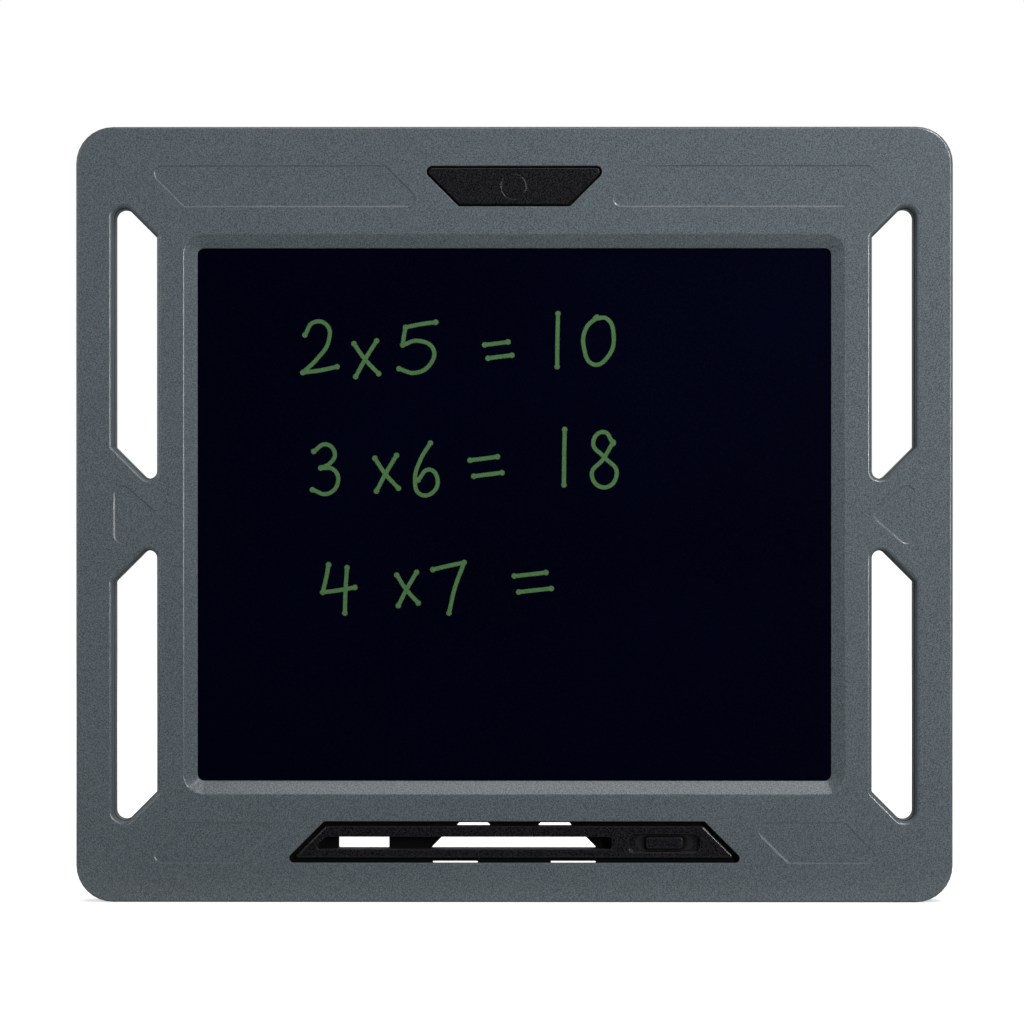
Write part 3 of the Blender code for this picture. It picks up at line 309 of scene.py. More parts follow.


# %% [markdown]
# ## Moulded ABS
# The case is ABS, moulded in a tool that was spark-eroded to a fine grain. To the eye that is a
# soft, even sheen with a sandy speckle. The real grain is about 0.2 mm, which is finer than a
# pixel here, so it is drawn near 0.5 mm. A noise mixes two near tones and tips the light a little.
# Steep walls drag on the tool as it opens and come out duller; their darker tone is painted shade.

# %% Moulded plastics
# The noise is turned, so that no flat face lies along the grid that it is made on.
OFF_GRID = (0.6, 0.4, 0.9)
GRAIN_SPREAD = (0.3, 0.7)
CLOUD_MM, CLOUD_DRIFT = 38.0, 0.05
# Slants where the dull finish and the painted wall shade begin and are full, and the walls'
# roughness
WALL_SLANT, WALL_ROUGH = (0.25, 0.7), 0.95
ROUGH_DRIFT, BUMP_STRENGTH = 0.03, 0.35


def moulded(name, dark, light, painted_wall_shade, grain_mm, rough, gloss, bump_mm):
    """Grained moulding: two close colours mixed by a fine noise, duller walls and painted shade on
    them.
    """
    made, tree, shader = new_material(name, IOR=1.53, Specular_IOR_Level=gloss)
    spot = add_node(tree, "TexCoord").outputs["Object"]
    where = add_node(tree, "Mapping", {"Vector": spot, "Rotation": OFF_GRID}).outputs["Vector"]
    slant = add_node(tree, "Attribute", attribute_name="wall").outputs["Fac"]
    steep = ranged(tree, slant, *WALL_SLANT)
    grain = noise(tree, where, grain_mm, 0.0)
    cloud = noise(tree, where, CLOUD_MM, 2.0)
    tone = mixed(tree, ranged(tree, grain, *GRAIN_SPREAD), linear(dark), linear(light))
    drift = ranged(tree, cloud, start=1 - CLOUD_DRIFT, end=1 + CLOUD_DRIFT)
    shade = add_node(tree, "HueSaturation", {"Color": tone, "Value": drift}).outputs["Color"]
    matt = ranged(tree, grain, start=rough - ROUGH_DRIFT, end=rough + ROUGH_DRIFT)
    relief = add_node(tree, "Bump", {"Height": grain, "Strength": BUMP_STRENGTH,
                                     "Distance": bump_mm * MM})
    # Steep walls get the darker colour: painted shade, not a colour of the plastic.
    tree.links.new(mixed(tree, steep, shade, linear(painted_wall_shade)), shader.inputs["Base Color"])
    tree.links.new(mixed(tree, steep, matt, WALL_ROUGH, kind="FLOAT"), shader.inputs["Roughness"])
    tree.links.new(relief.outputs["Normal"], shader.inputs["Normal"])
    print("moulded plastic:", name)
    return made


# The third colour of each plastic is the painted shade on its steep walls.
grey_abs = moulded("grey_spark_eroded_abs", "3e464b", "5d656a", "3c4348",
                   grain_mm=0.45, rough=0.18, gloss=0.5, bump_mm=0.03)
black_abs = moulded("black_spark_eroded_abs", "050506", "1f1e22", "020202",
                    grain_mm=0.5, rough=0.2, gloss=0.22, bump_mm=0.03)

# %% [markdown]
# ## The writing film
# The panel is a liquid-crystal film between clear sheets over a black coat. Where nothing is
# written it is nearly black with a blue cast, and its matt top sheet throws back almost no
# mirror image. A faint weave of fine dots comes from the spacers between the sheets.

# %% Film and writing
FILM_CLOUD_MM, SPACER_MM, UNEVEN_MM = 90.0, 1.2, 2.5
DOT_REACH, DOT_TINT, EDGE_FADE = 0.45, 0.5, (0.35, 0.95)


def film_material():
    """Blue-black film with faint speckles and a slow change of tone."""
    made, tree, shader = new_material("etched_liquid_crystal_film", IOR=1.5, Roughness=0.45,
                                      Specular_IOR_Level=0.01)
    where = add_node(tree, "TexCoord").outputs["Object"]
    base = mixed(tree, noise(tree, where, FILM_CLOUD_MM, 1.0), linear("000009"), linear("010212"))
    dots = add_node(tree, "TexVoronoi", {"Vector": where, "Scale": per_metre(SPACER_MM)})
    near = ranged(tree, dots.outputs["Distance"], high=DOT_REACH, start=DOT_TINT, end=0.0)
    tree.links.new(mixed(tree, near, base, linear("04061a")), shader.inputs["Base Color"])
    return made


def writing_material():
    """Pressed liquid crystal: green in the middle of a line, darker and bluer at its edge."""
    made, tree, shader = new_material("pressed_liquid_crystal", IOR=1.5, Specular_IOR_Level=0.03,
                                      Roughness=0.5)
    where = add_node(tree, "TexCoord").outputs["Object"]
    green = mixed(tree, noise(tree, where, UNEVEN_MM, 2.0), linear("395c36"), linear("4b6d44"))
    edge = add_node(tree, "Attribute", attribute_name="edge").outputs["Fac"]
    fade = ranged(tree, edge, *EDGE_FADE)
    tree.links.new(mixed(tree, fade, green, linear("0c2226")), shader.inputs["Base Color"])
    return made


film = film_material()
writing = writing_material()
print("film and writing:", film.name, writing.name)

# %% [markdown]
# ## Metals, rubber and the inner pieces
# The screws and the cell are plated steel with fine turning marks, the feet are matt rubber, and
# the pieces inside are what such boards carry. They show only when the battery door is off, but
# each still gets the finish of the real thing.

# %% Small finishes
SPECK_DRIFT = 0.08


def speckled(name, dark, light, size_mm, rough, metal=0.0, gloss=0.4):
    """A small piece's finish: two close colours in a noise of a real size."""
    made, tree, shader = new_material(name, Metallic=metal, Specular_IOR_Level=gloss)
    where = add_node(tree, "TexCoord").outputs["Object"]
    specks = noise(tree, where, size_mm, 3.0)
    matt = ranged(tree, specks, start=rough - SPECK_DRIFT, end=rough + SPECK_DRIFT)
    tree.links.new(mixed(tree, specks, linear(dark), linear(light)), shader.inputs["Base Color"])
    tree.links.new(matt, shader.inputs["Roughness"])
    return made


steel = speckled("zinc_plated_steel", "8b8f94", "c4c8cc", 0.6, 0.35, metal=1.0)
cell_steel = speckled("brushed_stainless_steel", "a9adb1", "d2d5d8", 0.4, 0.28, metal=1.0)
spring = speckled("nickelled_phosphor_bronze", "b3aa92", "d6d0bd", 0.5, 0.3, metal=1.0)
rubber = speckled("black_moulded_rubber", "0c0c0d", "1a1a1b", 0.8, 0.8, gloss=0.15)
laminate = speckled("green_solder_mask", "123f26", "1f5f39", 0.9, 0.4)
epoxy = speckled("black_moulding_compound", "0d0d0e", "1b1b1d", 0.3, 0.55, gloss=0.2)
nylon = speckled("ivory_nylon", "cfc7b2", "ddd7c6", 0.8, 0.5)
ceramic = speckled("tan_ceramic", "7c5d3f", "96754f", 0.3, 0.4)
ferrite = speckled("sintered_ferrite", "222224", "333336", 0.3, 0.6, gloss=0.2)
polyimide = speckled("amber_polyimide", "8a4f13", "a8651f", 2.0, 0.3)
tape = speckled("white_tape", "dedbd0", "efece2", 1.0, 0.6)
backing = speckled("white_polystyrene", "d2d2cb", "e2e2dc", 1.0, 0.6)

inner_finishes = {
    "circuit_board": laminate, "driver_chip": epoxy, "erase_switch_body": epoxy,
    "erase_switch_plunger": nylon, "flex_connector": nylon, "capacitor_1": ceramic,
    "capacitor_2": ceramic, "boost_inductor": ferrite, "panel_flex_tail": polyimide,
    "battery_leaf_negative": spring, "battery_clip_positive": spring, "board_screw_1": steel,
    "board_screw_2": steel, "panel_tape": tape, "backing_plate": backing,
}
for name, finish in inner_finishes.items():
    nodes[name].data.materials.clear()
    nodes[name].data.materials.append(finish)
print("inner pieces finished:", len(inner_finishes))

# %% [markdown]
# ## The outlines of the front
# All the shapes on the front follow one idea: straight sides, ends cut at 45 degrees, and
# corners that are round at the tips and tight at the bends. They are written here once, as
# corners with a radius, and both halves of the case use them.

# %% Outlines
CASE = (355.0, 314.0, 15.0)
WINDOW = (257.0, 216.0, 2.6)
SLOT_INNER, SLOT_OUTER, SLOT_WEB, SLOT_TOP = 144.8, 162.6, 9.3, 112.6
STRIP_LOW, STRIP_HIGH = 124.7, 141.1
STRIP_UP = (STRIP_LOW + STRIP_HIGH) / 2
RUN = STRIP_HIGH - STRIP_LOW
KEY_HALF, DOCK_HALF, DOCK_LOW, BEVEL_X = 22.5, 77.0, 124.2, 133.7
UPPER_PANEL_LEFT, LOWER_PANEL_LEFT = 35.7, 94.5
TRIANGLE_INNER, TRIANGLE_OUTER, TRIANGLE_HALF = 144.0, 162.0, 15.6
# Corner radii: tight at the bends, round at the tips
BEND, SLOT_BEND, WEB_TIP, SLOT_TIP = 0.8, 1.2, 3.5, 4.2
KEY_TIP, DOCK_TIP, PANEL_TIP, TRIANGLE_TIP = 2.4, 1.9, 3.2, 3.3


def rectangle(width, height, radius, across=0.0, up=0.0):
    """Four corners of one radius, round a middle."""
    left, right = across - width / 2, across + width / 2
    low, high = up - height / 2, up + height / 2
    return [(left, low, radius), (right, low, radius), (right, high, radius), (left, high, radius)]


def flipped(corners, side, above=1):
    """Corners mirrored across the middle, still running the same way round."""
    turned = [(side * across, above * up, radius) for across, up, radius in corners]
    return turned if side * above > 0 else turned[::-1]


case_edge = rectangle(*CASE)
window_edge = rectangle(*WINDOW)
slot_rise = SLOT_OUTER - SLOT_INNER
one_slot = [(SLOT_INNER, SLOT_WEB, WEB_TIP), (SLOT_OUTER, SLOT_WEB + slot_rise, SLOT_BEND),
            (SLOT_OUTER, SLOT_TOP + slot_rise, SLOT_TIP), (SLOT_INNER, SLOT_TOP, SLOT_BEND)]
slots = [flipped(one_slot, side, above) for side in (1, -1) for above in (1, -1)]
key_edge = [(-KEY_HALF, STRIP_LOW, BEND), (KEY_HALF, STRIP_LOW, BEND),
            (KEY_HALF + RUN, STRIP_HIGH, KEY_TIP), (-KEY_HALF - RUN, STRIP_HIGH, KEY_TIP)]
dock_end = DOCK_HALF + STRIP_HIGH - DOCK_LOW
dock_edge = [(-dock_end, -STRIP_HIGH, DOCK_TIP), (dock_end, -STRIP_HIGH, DOCK_TIP),
             (DOCK_HALF, -DOCK_LOW, BEND), (-DOCK_HALF, -DOCK_LOW, BEND)]
upper_panel = [(UPPER_PANEL_LEFT, STRIP_LOW, PANEL_TIP), (BEVEL_X, STRIP_LOW, BEND),
               (BEVEL_X + RUN, STRIP_HIGH, PANEL_TIP), (UPPER_PANEL_LEFT + RUN, STRIP_HIGH, BEND)]
lower_panel = [(LOWER_PANEL_LEFT + RUN, -STRIP_HIGH, BEND), (BEVEL_X + RUN, -STRIP_HIGH, PANEL_TIP),
               (BEVEL_X, -STRIP_LOW, BEND), (LOWER_PANEL_LEFT, -STRIP_LOW, PANEL_TIP)]
web_panel = [(TRIANGLE_INNER, 0.0, TRIANGLE_TIP), (TRIANGLE_OUTER, -TRIANGLE_HALF, TRIANGLE_TIP),
             (TRIANGLE_OUTER, TRIANGLE_HALF, TRIANGLE_TIP)]
sunk_panels = [flipped(panel, side) for panel in (upper_panel, lower_panel, web_panel)
               for side in (1, -1)]
print("outlines:", len(slots), "hand slots,", len(sunk_panels), "sunk panels")

# %% [markdown]
# ## The bezel frame
# The bezel is one moulding: a skin a couple of millimetres thick, with rolled rims at the hand
# slots, a dished bevel down to the window and shallow sunk panels. It could be cut from a slab
# with Booleans, but those leave ragged edges that won't take a rolled rim. Instead each opening
# is sunk from its own outline, and two fills close the skin's front and back.

# %% Front moulding
SKIN, PARTING = 2.2, 5.0
FRONT_ROLL, SLOT_ROLL, SMALL_ROLL, EDGE_BREAK = 1.2, 1.8, 0.3, 0.2
CASE_WALL, COLLAR = 2.0, 1.8
BEVEL_RUN, LIP_REAR, LEDGE, LEDGE_WALL = 5.9, 3.6, 7.0, 1.5
PANEL_STEP = 0.38

bm = bmesh.new()
wall = [(0, PARTING - SKIN), (EDGE_BREAK - CASE_WALL, 0), (-EDGE_BREAK, -EDGE_BREAK),
        (0, FRONT_ROLL + EDGE_BREAK - PARTING)]
push(bm, add_outline(bm, grown(case_edge, -CASE_WALL), SKIN),
     wall + roll_out(FRONT_ROLL), opened=True)
for slot in slots:
    rim = roll_in(SLOT_ROLL) + [(0, PARTING - SLOT_ROLL), (-COLLAR, 0), (0, SKIN - PARTING)]
    push(bm, add_outline(bm, grown(slot, SLOT_ROLL), 0.0), rim, opened=True)
crest = [(0.3, 0.03), (0.3, 0.1), (0.3, 0.17)]
slope = [(4.8, 2.8)]
foot = [(0.12, 0.12), (0.06, 0.12), (0.02, 0.12)]
landing = [(0, 0.14), (-LEDGE, 0), (0, PARTING - LIP_REAR), (-LEDGE_WALL, 0), (0, SKIN - PARTING)]
push(bm, add_outline(bm, grown(window_edge, BEVEL_RUN), 0.0),
     crest + slope + foot + landing, opened=True)
for opening in (key_edge, dock_edge):
    push(bm, add_outline(bm, grown(opening, SMALL_ROLL), 0.0),
         roll_in(SMALL_ROLL, 3) + [(0, SKIN - SMALL_ROLL)], opened=True)
shoulder = [(0.12, 0.02), (0.15, 0.075), (0.1, 0.05)]
riser = [(0.03, 0.07)]
for panel in sunk_panels:
    push(bm, add_outline(bm, grown(panel, PANEL_STEP), 0.0),
         shoulder + riser + shoulder[::-1])
close_level(bm, 0.0)
close_level(bm, SKIN)
mark_walls(bm)
keep(bm, "bezel_frame", grey_abs, "case", ["front_frame"])

# %% [markdown]
# ## The back shell
# The back isn't in the picture. Such a case has a plain rear tub that meets the bezel at a thin
# seam, with screws sunk in wells, four rubber feet and a screwed door over the cell. The same
# outlines are sunk from the back face, and collars inside carry the slots' walls to the seam.

# %% Rear moulding
CELL_ACROSS, DOOR_SCREW_ACROSS = 57.0, 75.0
REAR_INSIDE, SEAT_FLOOR, BAY_FRONT, SLOT_STEP = 11.4, 11.35, 8.4, 0.35
REAR_ROLL, REAR_SLOT_ROLL, SEAM, SINK_ROLL = 1.8, 1.4, 5.1, 0.2
TONGUE_FRONT, TONGUE, REAR_WALL = 3.9, 1.2, 2.2
DOCK_ROOM, COLLAR_FRONT, DOOR_GAP, BAY_WALL = 2.3, 3.8, 0.4, 1.6
# Radius and depth of the door screw's hole, the screw wells, their bosses and the feet's seats
HOLE_RADIUS, HOLE_DEPTH, WELL_RADIUS, WELL_DEPTH = 1.1, 2.6, 2.7, 2.0
BOSS_RADIUS, BOSS_DEPTH, SEAT_RADIUS, SEAT_DEPTH = 3.2, 2.1, 6.4, 0.5
door_edge = rectangle(33.7, 24.4, radius=2.4, across=61.65, up=STRIP_UP)
bay_edge = rectangle(25.1, 21.2, radius=3.0, across=58.95, up=STRIP_UP)
case_screws = [(side * across, above * up) for across, up in ((164.0, 145.5), (108.0, 149.5))
               for side in (1, -1) for above in (1, -1)] + [(153.7, 0.0), (-153.7, 0.0)]
feet = [(side * 127.0, above * 137.0) for side in (1, -1) for above in (1, -1)]

bm = bmesh.new()
tongue = [(0, REAR_INSIDE - TONGUE_FRONT), (-TONGUE, 0), (0, TONGUE_FRONT - SEAM),
          (EDGE_BREAK - REAR_WALL, 0), (-EDGE_BREAK, -EDGE_BREAK),
          (0, SEAM + EDGE_BREAK + REAR_ROLL - BODY_DEPTH)]
push(bm, add_outline(bm, grown(case_edge, -TONGUE - REAR_WALL), REAR_INSIDE, front=False),
     tongue + roll_out(REAR_ROLL), opened=True)
for slot in slots:
    rim = roll_in(REAR_SLOT_ROLL) + [(0, BODY_DEPTH - REAR_SLOT_ROLL - SEAM),
                                     (-COLLAR - SLOT_STEP, 0), (0, SEAM - REAR_INSIDE)]
    push(bm, add_outline(bm, grown(slot, REAR_SLOT_ROLL - SLOT_STEP), BODY_DEPTH, front=False),
         rim, opened=True)
collar = roll_in(SMALL_ROLL, 3) + [(0, BODY_DEPTH - SMALL_ROLL - COLLAR_FRONT), (-COLLAR, 0),
                                   (0, COLLAR_FRONT - REAR_INSIDE)]
push(bm, add_outline(bm, grown(dock_edge, DOCK_ROOM), BODY_DEPTH, front=False), collar, opened=True)
seat = roll_in(SINK_ROLL, 3) + [(0, BODY_DEPTH - SINK_ROLL - SEAT_FLOOR)]
push(bm, add_outline(bm, grown(door_edge, DOOR_GAP), BODY_DEPTH, front=False), seat, opened=True)
push(bm, add_outline(bm, bay_edge, SEAT_FLOOR, front=False),
     [(0, SEAT_FLOOR - BAY_FRONT)], opened=True)
push(bm, add_outline(bm, grown(door_edge, BAY_WALL), REAR_INSIDE, front=False),
     [(0, REAR_INSIDE - BAY_FRONT)], opened=True)
push(bm, add_disc(bm, DOOR_SCREW_ACROSS, STRIP_UP, HOLE_RADIUS, SEAT_FLOOR, front=False, sides=24),
     [(0, HOLE_DEPTH)])
for across, up in case_screws:
    push(bm, add_disc(bm, across, up, WELL_RADIUS, BODY_DEPTH, front=False),
         roll_in(SINK_ROLL, 3) + [(0, WELL_DEPTH)])
    push(bm, add_disc(bm, across, up, BOSS_RADIUS, REAR_INSIDE, front=False, sides=24),
         [(0, BOSS_DEPTH)])
for across, up in feet:
    push(bm, add_disc(bm, across, up, SEAT_RADIUS, BODY_DEPTH, front=False, sides=48),
         roll_in(SINK_ROLL, 3) + [(0, SEAT_DEPTH)])
for level in (BODY_DEPTH, REAR_INSIDE, SEAT_FLOOR, BAY_FRONT):
    close_level(bm, level)
mark_walls(bm)
keep(bm, "back_shell", grey_abs, "case", ["rear_cover"])

# %% [markdown]
# ## The erase key
# The key is a black cap that a flange holds behind the skin, with a ring pressed into its face
# where a fingertip goes. The cap grows from its hollow underside round to its face; the ring is
# a disc that is sunk and raised again before the face is filled round it.

# %% Key cap
KEY_FACE, KEY_UNDER, FLANGE_FRONT, KEY_ROLL = 0.15, 1.65, 2.3, 0.5
KEY_WALL, SKIRT_DEPTH, SKIRT_WIDTH, FLANGE_THICK, FLANGE_WIDTH = 2.0, 1.55, 3.2, 0.9, 2.0
POST_RADIUS, POST_LENGTH, RING_RADIUS = 2.5, 1.75, 5.6

bm = bmesh.new()
cap = [(0, SKIRT_DEPTH), (-SKIRT_WIDTH, 0), (0, -FLANGE_THICK), (FLANGE_WIDTH, 0),
       (0, KEY_FACE + KEY_ROLL - FLANGE_FRONT)]
push(bm, add_outline(bm, grown(key_edge, -KEY_WALL), KEY_UNDER),
     cap + roll_out(KEY_ROLL), opened=True)
push(bm, add_disc(bm, 0.0, STRIP_UP, POST_RADIUS, KEY_UNDER), [(0, POST_LENGTH)])
groove = [(0.22, 0.15), (0.16, 0.05), (0.24, 0.0), (0.16, -0.05), (0.22, -0.15)]
push(bm, add_disc(bm, 0.0, STRIP_UP, RING_RADIUS, KEY_FACE, sides=72), groove)
close_level(bm, KEY_FACE)
close_level(bm, KEY_UNDER)
mark_walls(bm)
keep(bm, "erase_key_cap", black_abs, "erase_key", ["erase_button"])

# %% [markdown]
# ## The stylus dock
# Below the window a raised black bar stands in a slightly larger opening, so that a dark moat
# runs round it. A stylus clips into its long channel, which has two windows through its floor,
# and a snap catch sits in a pocket on the right. Behind the skin a flange holds the bar, and
# four notches through the moat let light through at the edges.

# %% Dock moulding
DOCK_FACE, MOAT_FLOOR, FLANGE_REAR = 0.8, 3.4, 3.7
CHANNEL_FLOOR, TUB_REAR, POCKET_FLOOR = 7.3, 8.8, 3.2
DOCK_FLANGE, DOCK_LEDGE, BROW, TUB_WALL = 3.8, 3.6, 0.5, 1.5
POCKET_ROLL, POCKET_HOLLOW, POCKET_BOTTOM = 0.5, 0.4, 1.0
DOCK_UP, CHANNEL_HALF = -STRIP_UP - 0.2, 2.55
CHANNEL_LOW, CHANNEL_HIGH = DOCK_UP - CHANNEL_HALF, DOCK_UP + CHANNEL_HALF
CHANNEL_LEFT, CHANNEL_RIGHT, CHANNEL_RADIUS = -78.95, 39.45, 1.2
OPENING_LEFT, OPENING_RIGHT, OPENING_RADIUS, OPENING_GAP = -31.55, 31.25, 0.4, 0.1
CATCH_ACROSS = 60.85
plateau = [(-89.25, -139.0, 0.6), (89.25, -139.0, 0.6), (76.5, -126.25, 0.6), (-76.5, -126.25, 0.6)]
channel = [(CHANNEL_LEFT - CHANNEL_HALF, CHANNEL_LOW, CHANNEL_RADIUS),
           (CHANNEL_RIGHT, CHANNEL_LOW, CHANNEL_RADIUS),
           (CHANNEL_RIGHT, CHANNEL_HIGH, CHANNEL_RADIUS),
           (CHANNEL_LEFT + CHANNEL_HALF, CHANNEL_HIGH, CHANNEL_RADIUS)]
long_window = grown([(OPENING_LEFT - CHANNEL_HALF, CHANNEL_LOW, OPENING_RADIUS),
                     (OPENING_RIGHT + CHANNEL_HALF, CHANNEL_LOW, OPENING_RADIUS),
                     (OPENING_RIGHT - CHANNEL_HALF, CHANNEL_HIGH, OPENING_RADIUS),
                     (OPENING_LEFT + CHANNEL_HALF, CHANNEL_HIGH, OPENING_RADIUS)], -OPENING_GAP)
short_window = rectangle(20.4, 4.9, OPENING_RADIUS, across=-61.1, up=DOCK_UP)
pocket = rectangle(28.8, 7.4, radius=2.4, across=CATCH_ACROSS, up=DOCK_UP)
catch = rectangle(15.4, 5.3, radius=1.4, across=CATCH_ACROSS, up=DOCK_UP)
upper_notch = [(9.6, -126.0, 0.2), (23.4, -126.0, 0.2), (22.3, -124.9, 0.4), (10.7, -124.9, 0.4)]
lower_notch = rectangle(18.2, 0.7, radius=0.3, across=23.9, up=-140.9)
notches = [flipped(notch, side) for notch in (upper_notch, lower_notch) for side in (1, -1)]

bm = bmesh.new()
push(bm, add_outline(bm, grown(dock_edge, DOCK_FLANGE), FLANGE_REAR),
     [(0, FLANGE_FRONT - FLANGE_REAR), (DOCK_LEDGE, 0), (0, MOAT_FLOOR - FLANGE_FRONT)],
     opened=True)
brow = [(0.1, -0.27), (0.2, -0.12), (0.4, -0.11)]
push(bm, add_outline(bm, plateau, MOAT_FLOOR),
     [(0, DOCK_FACE + BROW - MOAT_FLOOR)] + brow, opened=True)
push(bm, add_outline(bm, grown(channel, SMALL_ROLL), DOCK_FACE),
     roll_in(SMALL_ROLL, 3) + [(0, CHANNEL_FLOOR - DOCK_FACE - SMALL_ROLL)], opened=True)
for window in (long_window, short_window):
    push(bm, add_outline(bm, window, CHANNEL_FLOOR), [(0, TUB_REAR - CHANNEL_FLOOR)], opened=True)
push(bm, add_outline(bm, grown(channel, TUB_WALL), FLANGE_REAR),
     [(0, TUB_REAR - FLANGE_REAR)], opened=True)
pocket_wall = POCKET_FLOOR - DOCK_FACE - (POCKET_ROLL + POCKET_HOLLOW)
push(bm, add_outline(bm, grown(pocket, POCKET_ROLL), DOCK_FACE),
     roll_in(POCKET_ROLL) + [(0, pocket_wall)] + roll_down(POCKET_HOLLOW, 3), opened=True)
catch_sides = [(0.3, -1.45), (0.15, -0.2), (0.9, -0.24)]
push(bm, add_outline(bm, catch, POCKET_FLOOR), catch_sides)
push(bm, add_outline(bm, grown(pocket, TUB_WALL), FLANGE_REAR), [(0, POCKET_BOTTOM)])
for notch in notches:
    push(bm, add_outline(bm, notch, MOAT_FLOOR), [(0, FLANGE_REAR - MOAT_FLOOR)], opened=True)
for level in (DOCK_FACE, MOAT_FLOOR, POCKET_FLOOR, FLANGE_REAR, CHANNEL_FLOOR, TUB_REAR):
    close_level(bm, level)
mark_walls(bm)
keep(bm, "dock_moulding", black_abs, "case", ["stylus_dock"])

# %% [markdown]
# ## The film and what is written on it
# The film is a thin sheet behind the bezel's lip. The writing is pressed liquid crystal, so it
# lies in the film with no height to speak of: each line is a curve with a round section, made a
# mesh and pressed nearly flat. Lines swell at their ends, where a stylus rests, so each end gets
# a flattened ball. The section's slant is kept as an attribute that darkens the line's edge.

# %% Film sheet
FILM_FRONT, FILM_REAR, FILM_MARGIN = 4.0, 4.8, 6.0

bm = bmesh.new()
push(bm, add_outline(bm, grown(window_edge, FILM_MARGIN), FILM_REAR), [(0, FILM_FRONT - FILM_REAR)])
close_level(bm, FILM_REAR)
keep(bm, "film_sheet", film, "case", ["writing_panel"])

# %% Strokes of the figures, in a box one unit wide and high
FIGURES = {
    "0": [[(0.45, 0.98), (0.12, 0.75), (0.06, 0.35), (0.35, 0.02), (0.78, 0.18), (0.95, 0.62),
           (0.74, 0.95), (0.40, 0.95)]],
    "1": [[(0.55, 1.0), (0.5, 0.5), (0.48, 0.0)]],
    "2": [[(0.10, 0.74), (0.34, 0.98), (0.70, 0.92), (0.74, 0.62), (0.42, 0.28), (0.04, 0.03)],
          [(0.04, 0.03), (0.5, 0.07), (0.97, 0.14)]],
    "3": [[(0.12, 0.86), (0.5, 1.0), (0.78, 0.82), (0.62, 0.62), (0.34, 0.53)],
          [(0.34, 0.53), (0.74, 0.50), (0.88, 0.26), (0.55, 0.02), (0.08, 0.10)]],
    "4": [[(0.24, 0.98), (0.17, 0.7), (0.08, 0.42)], [(0.08, 0.42), (0.5, 0.46), (0.95, 0.52)],
          [(0.74, 0.92), (0.70, 0.5), (0.68, 0.0)]],
    "5": [[(0.92, 0.98), (0.55, 0.94), (0.2, 0.88)], [(0.2, 0.88), (0.16, 0.72), (0.13, 0.54)],
          [(0.13, 0.54), (0.5, 0.62), (0.86, 0.46), (0.78, 0.16), (0.42, 0.0), (0.04, 0.08)]],
    "6": [[(0.62, 1.0), (0.28, 0.68), (0.1, 0.32), (0.26, 0.04), (0.68, 0.06), (0.86, 0.32),
           (0.58, 0.50), (0.2, 0.30)]],
    "7": [[(0.03, 0.86), (0.45, 0.93), (0.94, 1.0)], [(0.94, 1.0), (0.68, 0.52), (0.50, 0.0)]],
    "8": [[(0.70, 0.78), (0.42, 0.98), (0.14, 0.78), (0.44, 0.54), (0.80, 0.26), (0.46, 0.0),
           (0.10, 0.22), (0.42, 0.50), (0.70, 0.80)]],
    "x": [[(0.08, 0.92), (0.45, 0.5), (0.95, 0.08)], [(0.88, 1.0), (0.5, 0.52), (0.14, 0.0)]],
    "=": [[(0.0, 0.78), (0.4, 0.85), (0.86, 0.94)], [(0.12, 0.06), (0.5, 0.13), (1.0, 0.22)]],
}
# Each figure: which, its left side across and its foot up, its width and its height, in mm
SUMS = [
    ("2", -86.5, 57.0, 15.0, 21.5), ("x", -66.0, 56.0, 11.5, 14.5), ("5", -47.5, 57.5, 17.0, 21.0),
    ("=", -12.0, 63.0, 11.0, 7.5), ("1", 15.0, 60.0, 5.0, 21.5), ("0", 27.5, 60.5, 13.5, 20.0),
    ("3", -83.0, 8.0, 13.0, 20.5), ("x", -57.5, 9.5, 11.0, 14.5), ("6", -41.5, 7.5, 12.0, 21.5),
    ("=", -18.0, 15.0, 13.0, 9.0), ("1", 18.0, 12.0, 4.5, 22.5), ("8", 30.0, 11.0, 14.5, 23.0),
    ("4", -79.0, -40.0, 15.0, 20.0), ("x", -48.5, -37.0, 10.0, 13.5),
    ("7", -33.5, -40.0, 14.0, 20.5), ("=", 0.0, -32.0, 15.0, 9.0),
]
print("figures to write:", len(SUMS))

# %% Writing the sums
LINE_RADIUS, BLOB_RADIUS, LINE_HEIGHT = 0.92, 1.2, 0.02


def writing_curve(strokes):
    """One curve object with a smooth spline for each stroke."""
    drawn = bpy.data.curves.new("strokes", "CURVE")
    drawn.dimensions = "3D"
    drawn.bevel_depth = LINE_RADIUS
    drawn.bevel_resolution = 3
    drawn.resolution_u = 10
    drawn.use_fill_caps = True
    for stroke in strokes:
        line = drawn.splines.new("BEZIER")
        line.bezier_points.add(len(stroke) - 1)
        for knot, (across, up) in zip(line.bezier_points, stroke):
            knot.co = place(across, up, FILM_FRONT)
            knot.handle_left_type = knot.handle_right_type = "AUTO"
    return bpy.data.objects.new("strokes", drawn)


strokes = [[(left + x * wide, foot_up + y * high) for x, y in stroke]
           for figure, left, foot_up, wide, high in SUMS for stroke in FIGURES[figure]]
curve = writing_curve(strokes)
bpy.context.scene.collection.objects.link(curve)
lines = bpy.data.meshes.new_from_object(curve.evaluated_get(bpy.context.evaluated_depsgraph_get()))
bpy.data.objects.remove(curve)
bm = bmesh.new()
bm.from_mesh(lines)
for across, up in sorted({end for stroke in strokes for end in (stroke[0], stroke[-1])}):
    bmesh.ops.create_uvsphere(bm, u_segments=20, v_segments=12, radius=BLOB_RADIUS,
                              matrix=Matrix.Translation(place(across, up, FILM_FRONT)))
bm.normal_update()
edge = bm.verts.layers.float.new("edge")
for vert in bm.verts:
    vert[edge] = 1 - abs(vert.normal.y)
bmesh.ops.scale(bm, vec=(1.0, LINE_HEIGHT, 1.0), space=Matrix.Translation((0.0, -FILM_FRONT, 0.0)),
                verts=bm.verts)
keep(bm, "written_sums", writing, "case")

